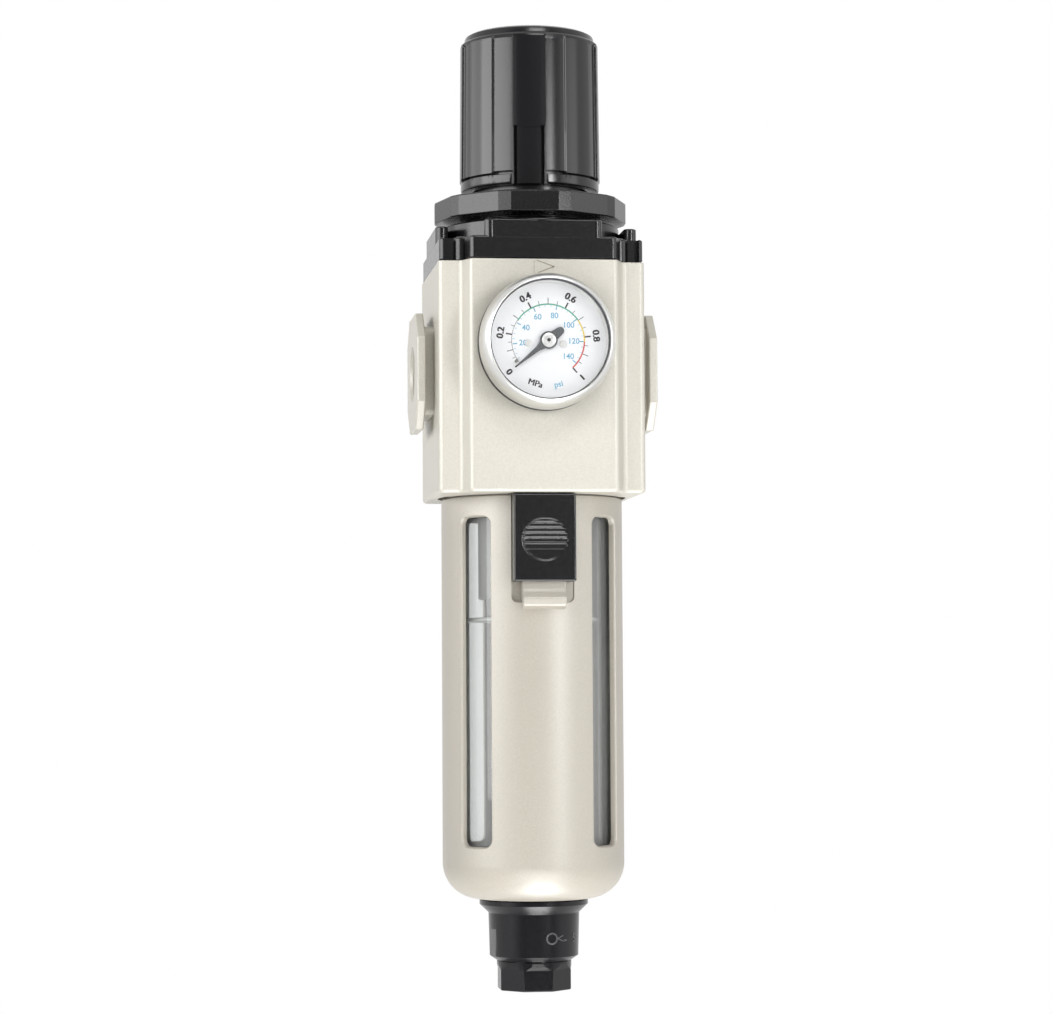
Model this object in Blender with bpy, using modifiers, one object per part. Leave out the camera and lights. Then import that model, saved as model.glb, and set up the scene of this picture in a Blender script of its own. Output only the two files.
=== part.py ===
"""Filter regulator for compressed air: a pressure regulator with its gauge, over a filter in a guarded bowl.

The origin is where the pipe line crosses the bowl's axis. +X is the outlet, -Y the gauge side, +Z up.
All sizes are in metres.
"""

import math

import bmesh
import bpy
import numpy as np
from mathutils import Matrix, Vector

# Clearances and roundness
GAP = 0.0003  # air between pieces that rest on, or slide in, each other
THREAD_GAP = 0.0003  # radial air between a thread's outside and its nut
PAST = 0.0010  # how far a cutter runs past the face that it opens
SINK = 0.0004  # how far a joined shape reaches into its neighbour
ARC_STEP = math.radians(45)
SHARP_ANGLE = math.radians(32)
FINE_STEPS, ROUND_STEPS, SMALL_STEPS = 28, 24, 12

# Body casting
BODY_HALF_WIDTH = 0.0255
BODY_HALF_DEPTH = 0.0230
BODY_TOP = 0.0258
BODY_BOTTOM = -0.0312
BODY_CORNER = 0.0013
BODY_EDGE_ROUND = 0.0010
PANEL_PROUD = 0.0045  # the front and rear panels stand this far out of the body
PANEL_HALF_WIDTH = 0.0180
PANEL_FLARE = 0.0020  # the panel's sides spread by this much towards the body
PANEL_ROUND = 0.0013
PANEL_FACE = BODY_HALF_DEPTH + PANEL_PROUD

# Pipe ports and their clamp flanges
PORT_REACH = 0.0300
PORT_RADIUS = 0.00605
PORT_DEPTH = 0.0180
PORT_CHAMFER = 0.0008
FLANGE_HALF = 0.0145
FLANGE_CORNER_CUT = 0.0065
FLANGE_THICK = 0.0021
FLANGE_EDGE_ROUND = 0.0004
NECK_HALF_HEIGHT = 0.0100
NECK_HALF_DEPTH = 0.0110
PASSAGE_WIDTH = 0.0042
PASSAGE_HALF_DEPTH = 0.0040

# Regulator chambers inside the body
CHAMBER_RADIUS = 0.0180
CHAMBER_FLOOR = 0.0140
ORIFICE_RADIUS = 0.0042
SEAT_Z = 0.0050
VALVE_BORE = 0.0095
SPIGOT_RADIUS = 0.0122  # the central boss that the filter hangs from
SPIGOT_BOTTOM = -0.0270
SENSE_HOLE = 0.0011

# Bowl socket and its bayonet
SOCKET_CEILING = -0.0150
BOWL_NECK_LENGTH = 0.0070
BOWL_FLANGE_THICK = 0.0020
BOWL_FLANGE_RADIUS = 0.0214
LUG_THICK = 0.0034
LUG_REACH = 0.0233
LUG_HALF_ANGLE = math.radians(16)
LUG_SIDE_GAP = math.radians(4)
LUG_COUNT = 4
BOWL_TOP = SOCKET_CEILING - GAP
BOWL_FLANGE_BOTTOM = BOWL_TOP - BOWL_NECK_LENGTH - BOWL_FLANGE_THICK
GUARD_TOP = BOWL_FLANGE_BOTTOM - GAP
LUG_TOP = GUARD_TOP - GAP
LUG_BOTTOM = LUG_TOP - LUG_THICK
LEDGE_TOP = LUG_BOTTOM - GAP

# Bowl guard
GUARD_RADIUS = 0.0227
GUARD_WALL = 0.0015
GUARD_NECK_RADIUS = 0.0216
GUARD_NECK_WALL = 0.0012
GUARD_BOTTOM = -0.1310
GUARD_CORNER = 0.0090
GUARD_FLOOR = 0.0016
GUARD_SHOULDER = BODY_BOTTOM - GAP
SIGHT_WIDTH = 0.0087
SIGHT_TOP = -0.0367
SIGHT_BOTTOM = -0.1175
SIGHT_CORNER = 0.0020

# Clear bowl
BOWL_RADIUS = 0.0199
BOWL_WALL = 0.0025
BOWL_NECK_RADIUS = 0.0206
BOWL_FLOOR = 0.0030
BOWL_CORNER = 0.0085
RING_SECTION = 0.0022
BOWL_BOTTOM = GUARD_BOTTOM + GUARD_FLOOR + GAP

# Latch and its pocket in the guard
LATCH_HALF_WIDTH = 0.0076
LATCH_FACE = 0.0267
LATCH_LENGTH = 0.0204
LATCH_WALL = 0.0017
LATCH_TRAVEL = 0.0025
POCKET_DEPTH = 0.0006
POCKET_LENGTH = 0.0264
PAD_HALF_WIDTH = 0.0054
PAD_LENGTH = 0.0134
PAD_FACE = 0.0244
PAD_LIP = 0.0259
WINDOW_HALF_WIDTH = 0.0030
LATCH_FOOT_HALF_WIDTH = 0.0046
LATCH_NOTCH = 0.0013
LATCH_STEM_DROP = 0.0025
LATCH_STEM_HEIGHT = 0.0032
LATCH_FOOT_HEIGHT = 0.0020
SCOOP_RADIUS = 0.0120
SCOOP_DEPTH = 0.0012
SCOOP_HALF_WIDTH = 0.0050
RIDGE_PITCH = 0.00095
RIDGE_COUNT = 11
RIDGE_RADIUS = 0.00028
LATCH_TOP = BODY_BOTTOM - GAP
LATCH_BOTTOM = LATCH_TOP - LATCH_LENGTH
POCKET_BOTTOM = LATCH_TOP - POCKET_LENGTH

# Drain under the bowl
COLLAR_FLANGE_RADIUS = 0.01355
COLLAR_FLANGE_THICK = 0.0011
COLLAR_RADIUS = 0.01105
COLLAR_CONE = 0.0016
COLLAR_LENGTH = 0.0149
COLLAR_CHAMFER = 0.0008
COLLAR_STEM_RADIUS = 0.0060
COLLAR_STEM_LENGTH = 0.0108
DRAIN_NUT_RADIUS = 0.0095
DRAIN_NUT_THICK = 0.0030
GASKET_THICK = 0.0012
GASKET_WIDTH = 0.0027
DRAIN_KNOB_ACROSS = 0.0184
DRAIN_KNOB_LENGTH = 0.0071
DRAIN_BOSS_RADIUS = 0.0080
DRAIN_BOSS_LENGTH = 0.0080
DRAIN_OUTLET_RADIUS = 0.0032
DRAIN_OUTLET_DEPTH = 0.0080
DRAIN_BORE = 0.0023
DRAIN_STEM_RADIUS = 0.0017
DRAIN_HEAD_RADIUS = 0.0034
DRAIN_FOOT = 0.0008
DRAIN_LIFT = 0.0010
COLLAR_TOP = GUARD_BOTTOM - GAP
COLLAR_BOTTOM = COLLAR_TOP - COLLAR_LENGTH
COLLAR_STEM_TOP = COLLAR_TOP + COLLAR_STEM_LENGTH
DRAIN_KNOB_TOP = COLLAR_BOTTOM - GAP

# Filter parts
DEFLECTOR_INNER = SPIGOT_RADIUS + 0.0004
DEFLECTOR_WALL = 0.0009
ELEMENT_SHOWN = 0.0043  # the filter element hangs this far out of the deflector
DEFLECTOR_FLANGE = 0.0012
VANE_COUNT = 12
VANE_REACH = 0.0170
VANE_TILT = math.radians(42)
VANE_Z = -0.0235
ELEMENT_RADIUS = 0.0117
ELEMENT_WALL = 0.0037
ELEMENT_LENGTH = 0.0321
BAFFLE_RADIUS = 0.0165
BAFFLE_THICK = 0.0010
BAFFLE_HUB_RADIUS = 0.0048
BAFFLE_HUB_LENGTH = 0.0041

# Valve parts
STEM_RADIUS = 0.0017
POPPET_RADIUS = 0.0062
POPPET_THICK = 0.0024
SEAL_THICK = 0.0008
TAIL_RADIUS = 0.0023
TAIL_LENGTH = 0.0150
GUIDE_RING_WALL = 0.0016
GUIDE_TOP = -0.0110
HUB_RADIUS = 0.0040
HUB_TOP = -0.0080
STUD_RADIUS = 0.0027
SPOKE_WIDTH = 0.0020
VALVE_WIRE = 0.0008

# Diaphragm
DIAPHRAGM_RADIUS = 0.0200
DIAPHRAGM_THICK = 0.0009
PLATE_RADIUS = 0.0115
PLATE_THICK = 0.0018
RELIEF_RADIUS = 0.0070
RELIEF_THICK = 0.0015
RELIEF_NECK = 0.0034
CONVOLUTION_RADIUS = 0.0018

# Bonnet
BONNET_INSET = 0.0003
BONNET_DECK = 0.0315
WALL_HEIGHT = 0.0041
WALL_THICK = 0.0028
WALL_HALF_LENGTH = 0.0134
WALL_NOTCH_HALF = 0.0014
WALL_NOTCH_DEPTH = 0.0009
DOME_RADIUS = 0.0203
DOME_TOP = 0.0370
PANEL_THREAD_RADIUS = 0.0179
THREAD_TOP = 0.0442
TOWER_RADIUS = 0.0140
TOWER_TOP = 0.0585
TOWER_ROOF = 0.0023
BONNET_SKIRT_RADIUS = 0.0176
SPRING_BORE = 0.0130
KEYWAY_DEPTH = 0.0012
KEYWAY_HALF_WIDTH = 0.0018
SCREW_PLACE = 0.0190
SCREW_SHANK = 0.0019
SCREW_HEAD = 0.00275
SCREW_HEAD_HEIGHT = 0.0022
SCREW_LENGTH = 0.0160
SCREW_SOCKET = 0.0013

# Panel nut
NUT_RADIUS = 0.0242
NUT_BOTTOM = 0.0382
NUT_THICK = 0.0054
NUT_SIDES = 10
NUT_WIDE_FACET = math.radians(28)
NUT_TURN = math.radians(14)

# Knob, spindle and range spring
KNOB_RADIUS = 0.0178
KNOB_RECESS = 0.0007
KNOB_CLEAR = 0.0020  # the raised knob's rim stands this far above the panel thread
KNOB_BOTTOM = THREAD_TOP + KNOB_CLEAR
KNOB_RIM = 0.0028
KNOB_RIM_RADIUS = 0.0175
KNOB_RISE = 0.0277
KNOB_TOP = TOWER_TOP + KNOB_RISE
KNOB_CROWN = 0.0025
KNOB_EDGE = 0.0008
KNOB_ROOF = 0.0036
KNOB_BORE = 0.0147
KNOB_LANDS = 8
LAND_HALF_ANGLE = math.radians(13.2)
KNOB_TURN = math.radians(-7.5)
TONGUE_HALF_WIDTH = 0.0031
TONGUE_SLIT = 0.0008
TONGUE_TOP = 0.0605
TONGUE_SUNK = 0.0005
TEETH = 12
TOOTH_HALF_ANGLE = math.radians(5.5)
TOOTH_REACH = 0.0005
TOOTH_HEIGHT = 0.0014
KNOB_HUB_RADIUS = 0.0066
KNOB_HUB_LENGTH = 0.0200
DRIVE_ACROSS = 0.0068
SPINDLE_RADIUS = 0.0039
SPINDLE_COLLAR = 0.0070
SPINDLE_COLLAR_THICK = 0.0015
SPINDLE_CLEAR = 0.0098  # the spindle's foot stays this far above the body
DRIVE_CLEAR = 0.0022
WASHER_THICK = 0.0005
SPRING_SEAT_THICK = 0.0040
RANGE_WIRE = 0.0020
RANGE_RADIUS = 0.0095

# Pressure gauge, on its own axis
GAUGE_Z = 0.0050
GAUGE_PORT_RADIUS = 0.0052
GAUGE_PORT_DEPTH = 0.0110
PLUG_LENGTH = 0.0080
PLUG_SOCKET = 0.0029
PLUG_SOCKET_DEPTH = 0.0045
GAUGE_RADIUS = 0.0165
GAUGE_DEPTH = 0.0107
BEZEL_WALL = 0.0006
BEZEL_LIP = 0.0008
BEZEL_LENGTH = 0.0078
BEZEL_CURVE = 0.0068
LENS_OPENING = 0.0142
LENS_RADIUS = 0.0148
LENS_THICK = 0.0014
CASE_WALL = 0.0008
DIAL_RADIUS = 0.0144
DIAL_THICK = 0.0004
DIAL_DEPTH = 0.0054
POINTER_REACH = 0.0104
POINTER_TAIL = 0.0040
POINTER_REST = math.radians(129)
GAUGE_STEM_RADIUS = 0.0036
TUBE_RADIUS = 0.0095
TUBE_SECTION = 0.0009

CLEARED = list(bpy.data.objects)
for old in CLEARED:
    bpy.data.objects.remove(old)

PARTS = bpy.data.collections.new("filter_regulator")
TOOLS = bpy.data.collections.new("cutters")
bpy.context.scene.collection.children.link(PARTS)
bpy.context.scene.collection.children.link(TOOLS)

TO_FRONT = (math.pi / 2, 0, 0)  # turns a shape's own +Z to -Y
TO_REAR = (-math.pi / 2, 0, 0)
TO_RIGHT = (0, math.pi / 2, 0)
TO_LEFT = (0, -math.pi / 2, 0)


def linear(hex_colour):
    """The linear RGBA of an sRGB hex colour."""
    channels = [int(hex_colour[i : i + 2], 16) / 255 for i in (1, 3, 5)]
    return [c / 12.92 if c <= 0.04045 else ((c + 0.055) / 1.055) ** 2.4 for c in channels] + [1.0]


def finish(name, hex_colour, roughness, metallic=0.0, alpha=1.0):
    material = bpy.data.materials.new(name)
    material.use_nodes = True
    shader = material.node_tree.nodes["Principled BSDF"]
    shader.inputs["Base Color"].default_value = linear(hex_colour)
    shader.inputs["Roughness"].default_value = roughness
    shader.inputs["Metallic"].default_value = metallic
    shader.inputs["Alpha"].default_value = alpha
    material.diffuse_color = linear(hex_colour)
    return material


CASTING = ("#DEDACF", 0.42, 0.25)
BLACK = ("#232326", 0.35, 0.0)
STEEL = ("#B9BBBD", 0.30, 1.0)
BRASS = ("#C2A15A", 0.32, 1.0)
RUBBER = ("#1C1C1D", 0.70, 0.0)


def add_object(name, data, look=None):
    """A named part when it has a look, else a hidden tool that only cuts or joins."""
    obj = bpy.data.objects.new(name, data)
    if look is None:
        TOOLS.objects.link(obj)
        obj.hide_render = True
        obj.display_type = "WIRE"
    else:
        PARTS.objects.link(obj)
        data.materials.append(finish(name, *look))
    return obj


def from_bmesh(name, bm, look):
    mesh = bpy.data.meshes.new(name)
    bm.to_mesh(mesh)
    bm.free()
    return add_object(name, mesh, look)


def filleted(corners, closed=True):
    """The points of a polygon with each corner (x, y, radius) rounded by an arc of that radius."""
    points = []
    last = len(corners) - 1
    for i, (x, y, *radius) in enumerate(corners):
        here = Vector((x, y))
        if not radius or (not closed and i in (0, last)):
            points.append(here)
            continue
        before = (Vector(corners[i - 1][:2]) - here).normalized()
        after = (Vector(corners[(i + 1) % (last + 1)][:2]) - here).normalized()
        half = before.angle(after) / 2
        centre = here + (before + after).normalized() * radius[0] / math.sin(half)
        spoke = here + before * radius[0] / math.tan(half) - centre
        turn = math.copysign(math.pi - 2 * half, before.cross(after) * -1)
        steps = max(1, round(abs(turn) / ARC_STEP))
        points += [centre + Matrix.Rotation(turn * k / steps, 2) @ spoke for k in range(steps + 1)]
    return points


def turned(name, profile, steps=ROUND_STEPS, look=None, bored=False):
    """A revolved shape. The profile of (radius, z, fillet) starts at the top and runs down the outside."""
    points = filleted(profile, closed=bored)
    edges = [(i, i + 1) for i in range(len(points) - 1)]
    if bored:
        edges.append((len(points) - 1, 0))
    mesh = bpy.data.meshes.new(name)
    mesh.from_pydata([(p.x, 0, p.y) for p in points], edges, [])
    obj = add_object(name, mesh, look)
    screw = obj.modifiers.new("turn", "SCREW")
    screw.steps = screw.render_steps = steps
    screw.use_merge_vertices = True
    screw.merge_threshold = 1e-6
    return obj


def prism(name, outline, low, high, look=None, round_low=0.0, round_high=0.0, segments=2):
    """A flat outline raised from low to high, with its end edges rounded if asked."""
    bm = bmesh.new()
    face = bm.faces.new([bm.verts.new((x, y, low)) for x, y in outline])
    raised = bmesh.ops.extrude_face_region(bm, geom=[face])["geom"]
    tops = [v for v in raised if isinstance(v, bmesh.types.BMVert)]
    bmesh.ops.translate(bm, verts=tops, vec=(0, 0, high - low))
    for level, radius in ((low, round_low), (high, round_high)):
        if radius:
            rim = [e for e in bm.edges if all(abs(v.co.z - level) < 1e-7 for v in e.verts)]
            bmesh.ops.bevel(bm, geom=rim, offset=radius, segments=segments, profile=0.5, affect="EDGES")
    bmesh.ops.recalc_face_normals(bm, faces=bm.faces)
    return from_bmesh(name, bm, look)


def drum(name, radius, low, high, look=None, segments=SMALL_STEPS, top_radius=None):
    """A cylinder, or a cone when its top radius differs."""
    bm = bmesh.new()
    bmesh.ops.create_cone(
        bm,
        cap_ends=True,
        segments=segments,
        radius1=radius,
        radius2=radius if top_radius is None else top_radius,
        depth=high - low,
        matrix=Matrix.Translation((0, 0, (low + high) / 2)),
    )
    return from_bmesh(name, bm, look)


def block(name, lows, highs, look=None):
    bm = bmesh.new()
    middle = [(a + b) / 2 for a, b in zip(lows, highs)]
    size = [b - a for a, b in zip(lows, highs)]
    matrix = Matrix.Translation(middle) @ Matrix.Diagonal((*size, 1))
    bmesh.ops.create_cube(bm, size=1, matrix=matrix)
    return from_bmesh(name, bm, look)


def arc(radius, start, end, steps):
    return [Vector((radius * math.cos(a), radius * math.sin(a))) for a in np.linspace(start, end, steps + 1)]


def sector(inner, outer, middle, half_angle, steps=3):
    """The outline of a piece of a ring."""
    outside = arc(outer, middle - half_angle, middle + half_angle, steps)
    return outside + arc(inner, middle + half_angle, middle - half_angle, steps)


def rounded_box(half_x, half_y, radius):
    signs = ((1, 1), (-1, 1), (-1, -1), (1, -1))
    return filleted([(sx * half_x, sy * half_y, radius) for sx, sy in signs])


def repeat(obj, count, phase=0.0):
    """Copies the shape of a tool round Z, all in its one mesh."""
    bm = bmesh.new()
    bm.from_mesh(obj.data)
    first = bm.verts[:] + bm.edges[:] + bm.faces[:]
    for k in range(1, count):
        made = bmesh.ops.duplicate(bm, geom=first)["geom"]
        moved = [v for v in made if isinstance(v, bmesh.types.BMVert)]
        bmesh.ops.rotate(bm, verts=moved, matrix=Matrix.Rotation(math.tau * k / count, 3, "Z"))
    bmesh.ops.rotate(bm, verts=bm.verts, matrix=Matrix.Rotation(phase, 3, "Z"))
    bm.to_mesh(obj.data)
    bm.free()
    return obj


def combine(obj, operation, *others):
    for other in others:
        boolean = obj.modifiers.new(other.name, "BOOLEAN")
        boolean.object = other
        boolean.operation = operation
    return obj


def cut(obj, *cutters):
    return combine(obj, "DIFFERENCE", *cutters)


def join(obj, *others):
    return combine(obj, "UNION", *others)


def placed(obj, location=(0, 0, 0), rotation=(0, 0, 0)):
    obj.location = location
    obj.rotation_euler = rotation
    return obj


def coil(name, radius, wire, low, high, turns, look, per_turn=10, middle=(0, 0)):
    """A compression spring between two levels, with its end turns laid close."""
    t = np.linspace(0, turns, int(turns * per_turn) + 1)
    close = 1.12 * wire
    levels = (low + wire / 2, low + wire / 2 + close, high - wire / 2 - close, high - wire / 2)
    z = np.interp(t, (0, 1, turns - 1, turns), levels)
    curve = bpy.data.curves.new(name, "CURVE")
    curve.dimensions = "3D"
    curve.bevel_depth = wire / 2
    curve.bevel_resolution = 2
    curve.use_fill_caps = True
    spline = curve.splines.new("POLY")
    spline.points.add(len(t) - 1)
    x = middle[0] + radius * np.cos(math.tau * t)
    y = middle[1] + radius * np.sin(math.tau * t)
    spline.points.foreach_set("co", np.column_stack((x, y, z, np.ones_like(z))).ravel())
    return add_object(name, curve, look)


def body_outline(inset=0.0):
    """The casting seen from above: square shoulders, with a flared panel at the front and the rear."""
    face, side, shoulder = PANEL_FACE - inset, BODY_HALF_WIDTH - inset, BODY_HALF_DEPTH - inset
    quarter = [
        (side, shoulder, BODY_CORNER),
        (PANEL_HALF_WIDTH + PANEL_FLARE - inset, shoulder, PANEL_ROUND),
        (PANEL_HALF_WIDTH - inset, face, PANEL_ROUND),
    ]
    left = [(-x, y, r) for x, y, r in reversed(quarter)]
    rear = [(-x, -y, r) for x, y, r in quarter]
    right = [(x, -y, r) for x, y, r in reversed(quarter)]
    return filleted(quarter + left + rear + right)


def screw_places():
    return [(sx * SCREW_PLACE, sy * SCREW_PLACE) for sx in (-1, 1) for sy in (-1, 1)]


def make_body():
    body = prism("body", body_outline(), BODY_BOTTOM, BODY_TOP, CASTING, round_low=BODY_EDGE_ROUND)
    for side, turn in (("inlet", TO_LEFT), ("outlet", TO_RIGHT)):
        neck = rounded_box(NECK_HALF_HEIGHT, NECK_HALF_DEPTH, BODY_CORNER)
        join(body, placed(prism(side + "_neck", neck, BODY_HALF_WIDTH - SINK, PORT_REACH - SINK), rotation=turn))
        near = FLANGE_HALF - FLANGE_CORNER_CUT
        signs = ((1, 1), (-1, 1), (-1, -1), (1, -1))
        plate = []
        for i, (sx, sy) in enumerate(signs):
            ends = [(sx * FLANGE_HALF, sy * near), (sx * near, sy * FLANGE_HALF)]
            plate += ends if i % 2 == 0 else ends[::-1]
        back = PORT_REACH - FLANGE_THICK
        edge = FLANGE_EDGE_ROUND
        flange = prism(side + "_flange", plate, back, PORT_REACH, None, edge, edge, segments=2)
        join(body, placed(flange, rotation=turn))
    for side, turn in (("inlet", TO_LEFT), ("outlet", TO_RIGHT)):
        mouth = [
            (0, PORT_REACH + PAST),
            (PORT_RADIUS + PORT_CHAMFER + PAST, PORT_REACH + PAST),
            (PORT_RADIUS, PORT_REACH - PORT_CHAMFER),
            (PORT_RADIUS, PORT_REACH - PORT_DEPTH),
            (0, PORT_REACH - PORT_DEPTH),
        ]
        cut(body, placed(turned(side + "_bore", mouth, 20), rotation=turn))
    socket = [
        (0, SPIGOT_BOTTOM),
        (SPIGOT_RADIUS, SPIGOT_BOTTOM),
        (SPIGOT_RADIUS, SOCKET_CEILING),
        (BOWL_FLANGE_RADIUS + GAP, SOCKET_CEILING),
        (BOWL_FLANGE_RADIUS + GAP, GUARD_TOP + GAP),
        (LUG_REACH + GAP, GUARD_TOP + GAP),
        (LUG_REACH + GAP, LEDGE_TOP),
        (GUARD_NECK_RADIUS + GAP, LEDGE_TOP),
        (GUARD_NECK_RADIUS + GAP, BODY_BOTTOM - PAST),
        (0, BODY_BOTTOM - PAST),
    ]
    cut(body, turned("socket", socket, ROUND_STEPS))
    entry = sector(GUARD_NECK_RADIUS - PAST, LUG_REACH + GAP, 0, LUG_HALF_ANGLE + LUG_SIDE_GAP, 3)
    cut(body, repeat(prism("lug_entries", entry, BODY_BOTTOM - PAST, LEDGE_TOP + SINK), LUG_COUNT))
    chamber = [
        (0, BODY_TOP + PAST),
        (DIAPHRAGM_RADIUS + 2 * GAP, BODY_TOP + PAST),
        (DIAPHRAGM_RADIUS + 2 * GAP, BODY_TOP - DIAPHRAGM_THICK - GAP),
        (CHAMBER_RADIUS, BODY_TOP - DIAPHRAGM_THICK - GAP),
        (CHAMBER_RADIUS, CHAMBER_FLOOR),
        (ORIFICE_RADIUS, CHAMBER_FLOOR),
        (ORIFICE_RADIUS, SEAT_Z),
        (VALVE_BORE, SEAT_Z),
        (VALVE_BORE, SPIGOT_BOTTOM - PAST),
        (0, SPIGOT_BOTTOM - PAST),
    ]
    cut(body, turned("chambers", chamber, 16))
    inner = PORT_REACH - PORT_DEPTH
    passages = {
        "outlet_passage": ((inner, 0), (inner + PASSAGE_WIDTH, CHAMBER_FLOOR + PAST)),
        "inlet_passage": ((-inner - PASSAGE_WIDTH, SOCKET_CEILING - PAST), (-inner, 0)),
    }
    for name, ((x0, z0), (x1, z1)) in passages.items():
        cut(body, block(name, (x0, -PASSAGE_HALF_DEPTH, z0), (x1, PASSAGE_HALF_DEPTH, z1)))
    for end, turn, sign in (("front", TO_FRONT, -1), ("rear", TO_REAR, 1)):
        port = drum(end + "_gauge_port", GAUGE_PORT_RADIUS, PANEL_FACE - GAUGE_PORT_DEPTH, PANEL_FACE + PAST)
        cut(body, placed(port, (0, 0, GAUGE_Z), turn))
        sense = drum(end + "_sense_hole", SENSE_HOLE, GAUGE_Z, CHAMBER_FLOOR + PAST, segments=8)
        sense_y = sign * (PANEL_FACE - GAUGE_PORT_DEPTH + SENSE_HOLE)
        cut(body, placed(sense, (0, sense_y, 0)))
    for k, (x, y) in enumerate(screw_places(), 1):
        hole = drum(f"screw_hole_{k}", SCREW_SHANK + THREAD_GAP, screw_tip() - GAP, BODY_TOP + PAST, segments=8)
        cut(body, placed(hole, (x, y, 0)))
    notch_back = LUG_REACH + GAP + SINK
    notch = (
        (-LATCH_HALF_WIDTH - GAP, -PANEL_FACE - PAST, BODY_BOTTOM - PAST),
        (LATCH_HALF_WIDTH + GAP, -notch_back, BODY_BOTTOM + LATCH_NOTCH),
    )
    cut(body, block("latch_notch", *notch))
    return body


def screw_tip():
    return BONNET_DECK + GAP - SCREW_LENGTH


def make_bonnet():
    low = BODY_TOP + GAP
    bonnet = prism("bonnet", body_outline(BONNET_INSET), low, BONNET_DECK, BLACK)
    tower = [
        (0, TOWER_TOP),
        (TOWER_RADIUS, TOWER_TOP),
        (TOWER_RADIUS, THREAD_TOP),
        (PANEL_THREAD_RADIUS, THREAD_TOP),
        (PANEL_THREAD_RADIUS, DOME_TOP),
        (DOME_RADIUS, DOME_TOP, 0.0010),
        (DOME_RADIUS, BONNET_DECK - SINK),
        (0, BONNET_DECK - SINK),
    ]
    join(bonnet, turned("tower", tower, ROUND_STEPS))
    top = BONNET_DECK + WALL_HEIGHT
    half_thick = WALL_THICK / 2
    front_wall = rounded_box(WALL_HALF_LENGTH, half_thick, half_thick * 0.95)
    side_wall = rounded_box(half_thick, WALL_HALF_LENGTH, half_thick * 0.95)
    front_y = PANEL_FACE - BONNET_INSET - half_thick
    side_x = BODY_HALF_WIDTH - BONNET_INSET - half_thick
    walls = {
        "front_wall": (front_wall, (0, -front_y, 0)),
        "rear_wall": (front_wall, (0, front_y, 0)),
        "left_wall": (side_wall, (-side_x, 0, 0)),
        "right_wall": (side_wall, (side_x, 0, 0)),
    }
    for name, (outline, where) in walls.items():
        join(bonnet, placed(prism(name, outline, BONNET_DECK - SINK, top, round_high=0.0003, segments=1), where))
    notch = block("wall_notch", (-WALL_NOTCH_HALF, -PANEL_FACE - PAST, top - WALL_NOTCH_DEPTH),
                  (WALL_NOTCH_HALF, -front_y + WALL_THICK, top + PAST))
    cut(bonnet, notch)
    teeth = sector(TOWER_RADIUS - SINK, TOWER_RADIUS + TOOTH_REACH, 0, TOOTH_HALF_ANGLE, 1)
    join(bonnet, repeat(prism("lock_teeth", teeth, THREAD_TOP - SINK, THREAD_TOP + TOOTH_HEIGHT), TEETH))
    spring_room = [
        (0, TOWER_TOP - TOWER_ROOF),
        (SPRING_BORE, TOWER_TOP - TOWER_ROOF),
        (SPRING_BORE, low + 0.0075),
        (BONNET_SKIRT_RADIUS, low + 0.0045),
        (BONNET_SKIRT_RADIUS, low - PAST),
        (0, low - PAST),
    ]
    cut(bonnet, turned("spring_room", spring_room, 20))
    keyway = block("keyways", (-SPRING_BORE - KEYWAY_DEPTH, -KEYWAY_HALF_WIDTH, low + 0.0060),
                   (SPRING_BORE + KEYWAY_DEPTH, KEYWAY_HALF_WIDTH, TOWER_TOP - TOWER_ROOF - GAP))
    shaft_hole = drum("shaft_hole", SPINDLE_RADIUS + GAP, TOWER_TOP - TOWER_ROOF - PAST, TOWER_TOP + PAST)
    cut(bonnet, keyway, shaft_hole)
    for k, (x, y) in enumerate(screw_places(), 1):
        hole = drum(f"bonnet_hole_{k}", SCREW_SHANK + GAP, low - PAST, BONNET_DECK + PAST, segments=8)
        cut(bonnet, placed(hole, (x, y, 0)))
    return bonnet


def make_bonnet_screws():
    seat = BONNET_DECK + GAP
    profile = [
        (0, seat + SCREW_HEAD_HEIGHT),
        (SCREW_HEAD, seat + SCREW_HEAD_HEIGHT, 0.0008),
        (SCREW_HEAD, seat),
        (SCREW_SHANK, seat),
        (SCREW_SHANK, screw_tip()),
        (0, screw_tip()),
    ]
    screws = []
    for k, (x, y) in enumerate(screw_places(), 1):
        screw = turned(f"bonnet_screw_{k}", profile, 8, STEEL)
        socket = drum(f"screw_socket_{k}", SCREW_SOCKET, seat + SCREW_HEAD_HEIGHT * 0.4,
                      seat + SCREW_HEAD_HEIGHT + PAST, segments=6)
        screws.append(placed(cut(screw, placed(socket, (x, y, 0))), (x, y, 0)))
    return screws


def make_panel_nut():
    facets = []
    pitch = math.tau / NUT_SIDES
    for k in range(NUT_SIDES):
        middle = -math.pi / 2 + NUT_TURN + pitch * (k + 0.5)
        facets += arc(NUT_RADIUS, middle - NUT_WIDE_FACET / 2, middle + NUT_WIDE_FACET / 2, 1)
    top = NUT_BOTTOM + NUT_THICK
    nut = prism("panel_nut", facets, NUT_BOTTOM, top, BLACK, 0.0003, 0.0006, segments=1)
    bore = drum("nut_bore", PANEL_THREAD_RADIUS + THREAD_GAP, NUT_BOTTOM - PAST, top + PAST, segments=ROUND_STEPS)
    return cut(nut, bore)


def knob_outline():
    """Eight raised lands round the knob, with a flat between each pair."""
    points = []
    for k in range(KNOB_LANDS):
        middle = -math.pi / 2 + KNOB_TURN + math.tau * k / KNOB_LANDS
        foot = KNOB_RADIUS - KNOB_RECESS
        points += arc(foot, middle - LAND_HALF_ANGLE - 0.012, middle - LAND_HALF_ANGLE - 0.012, 0)
        points += arc(KNOB_RADIUS, middle - LAND_HALF_ANGLE, middle + LAND_HALF_ANGLE, 3)
        points += arc(foot, middle + LAND_HALF_ANGLE + 0.012, middle + LAND_HALF_ANGLE + 0.012, 0)
    return points


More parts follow.
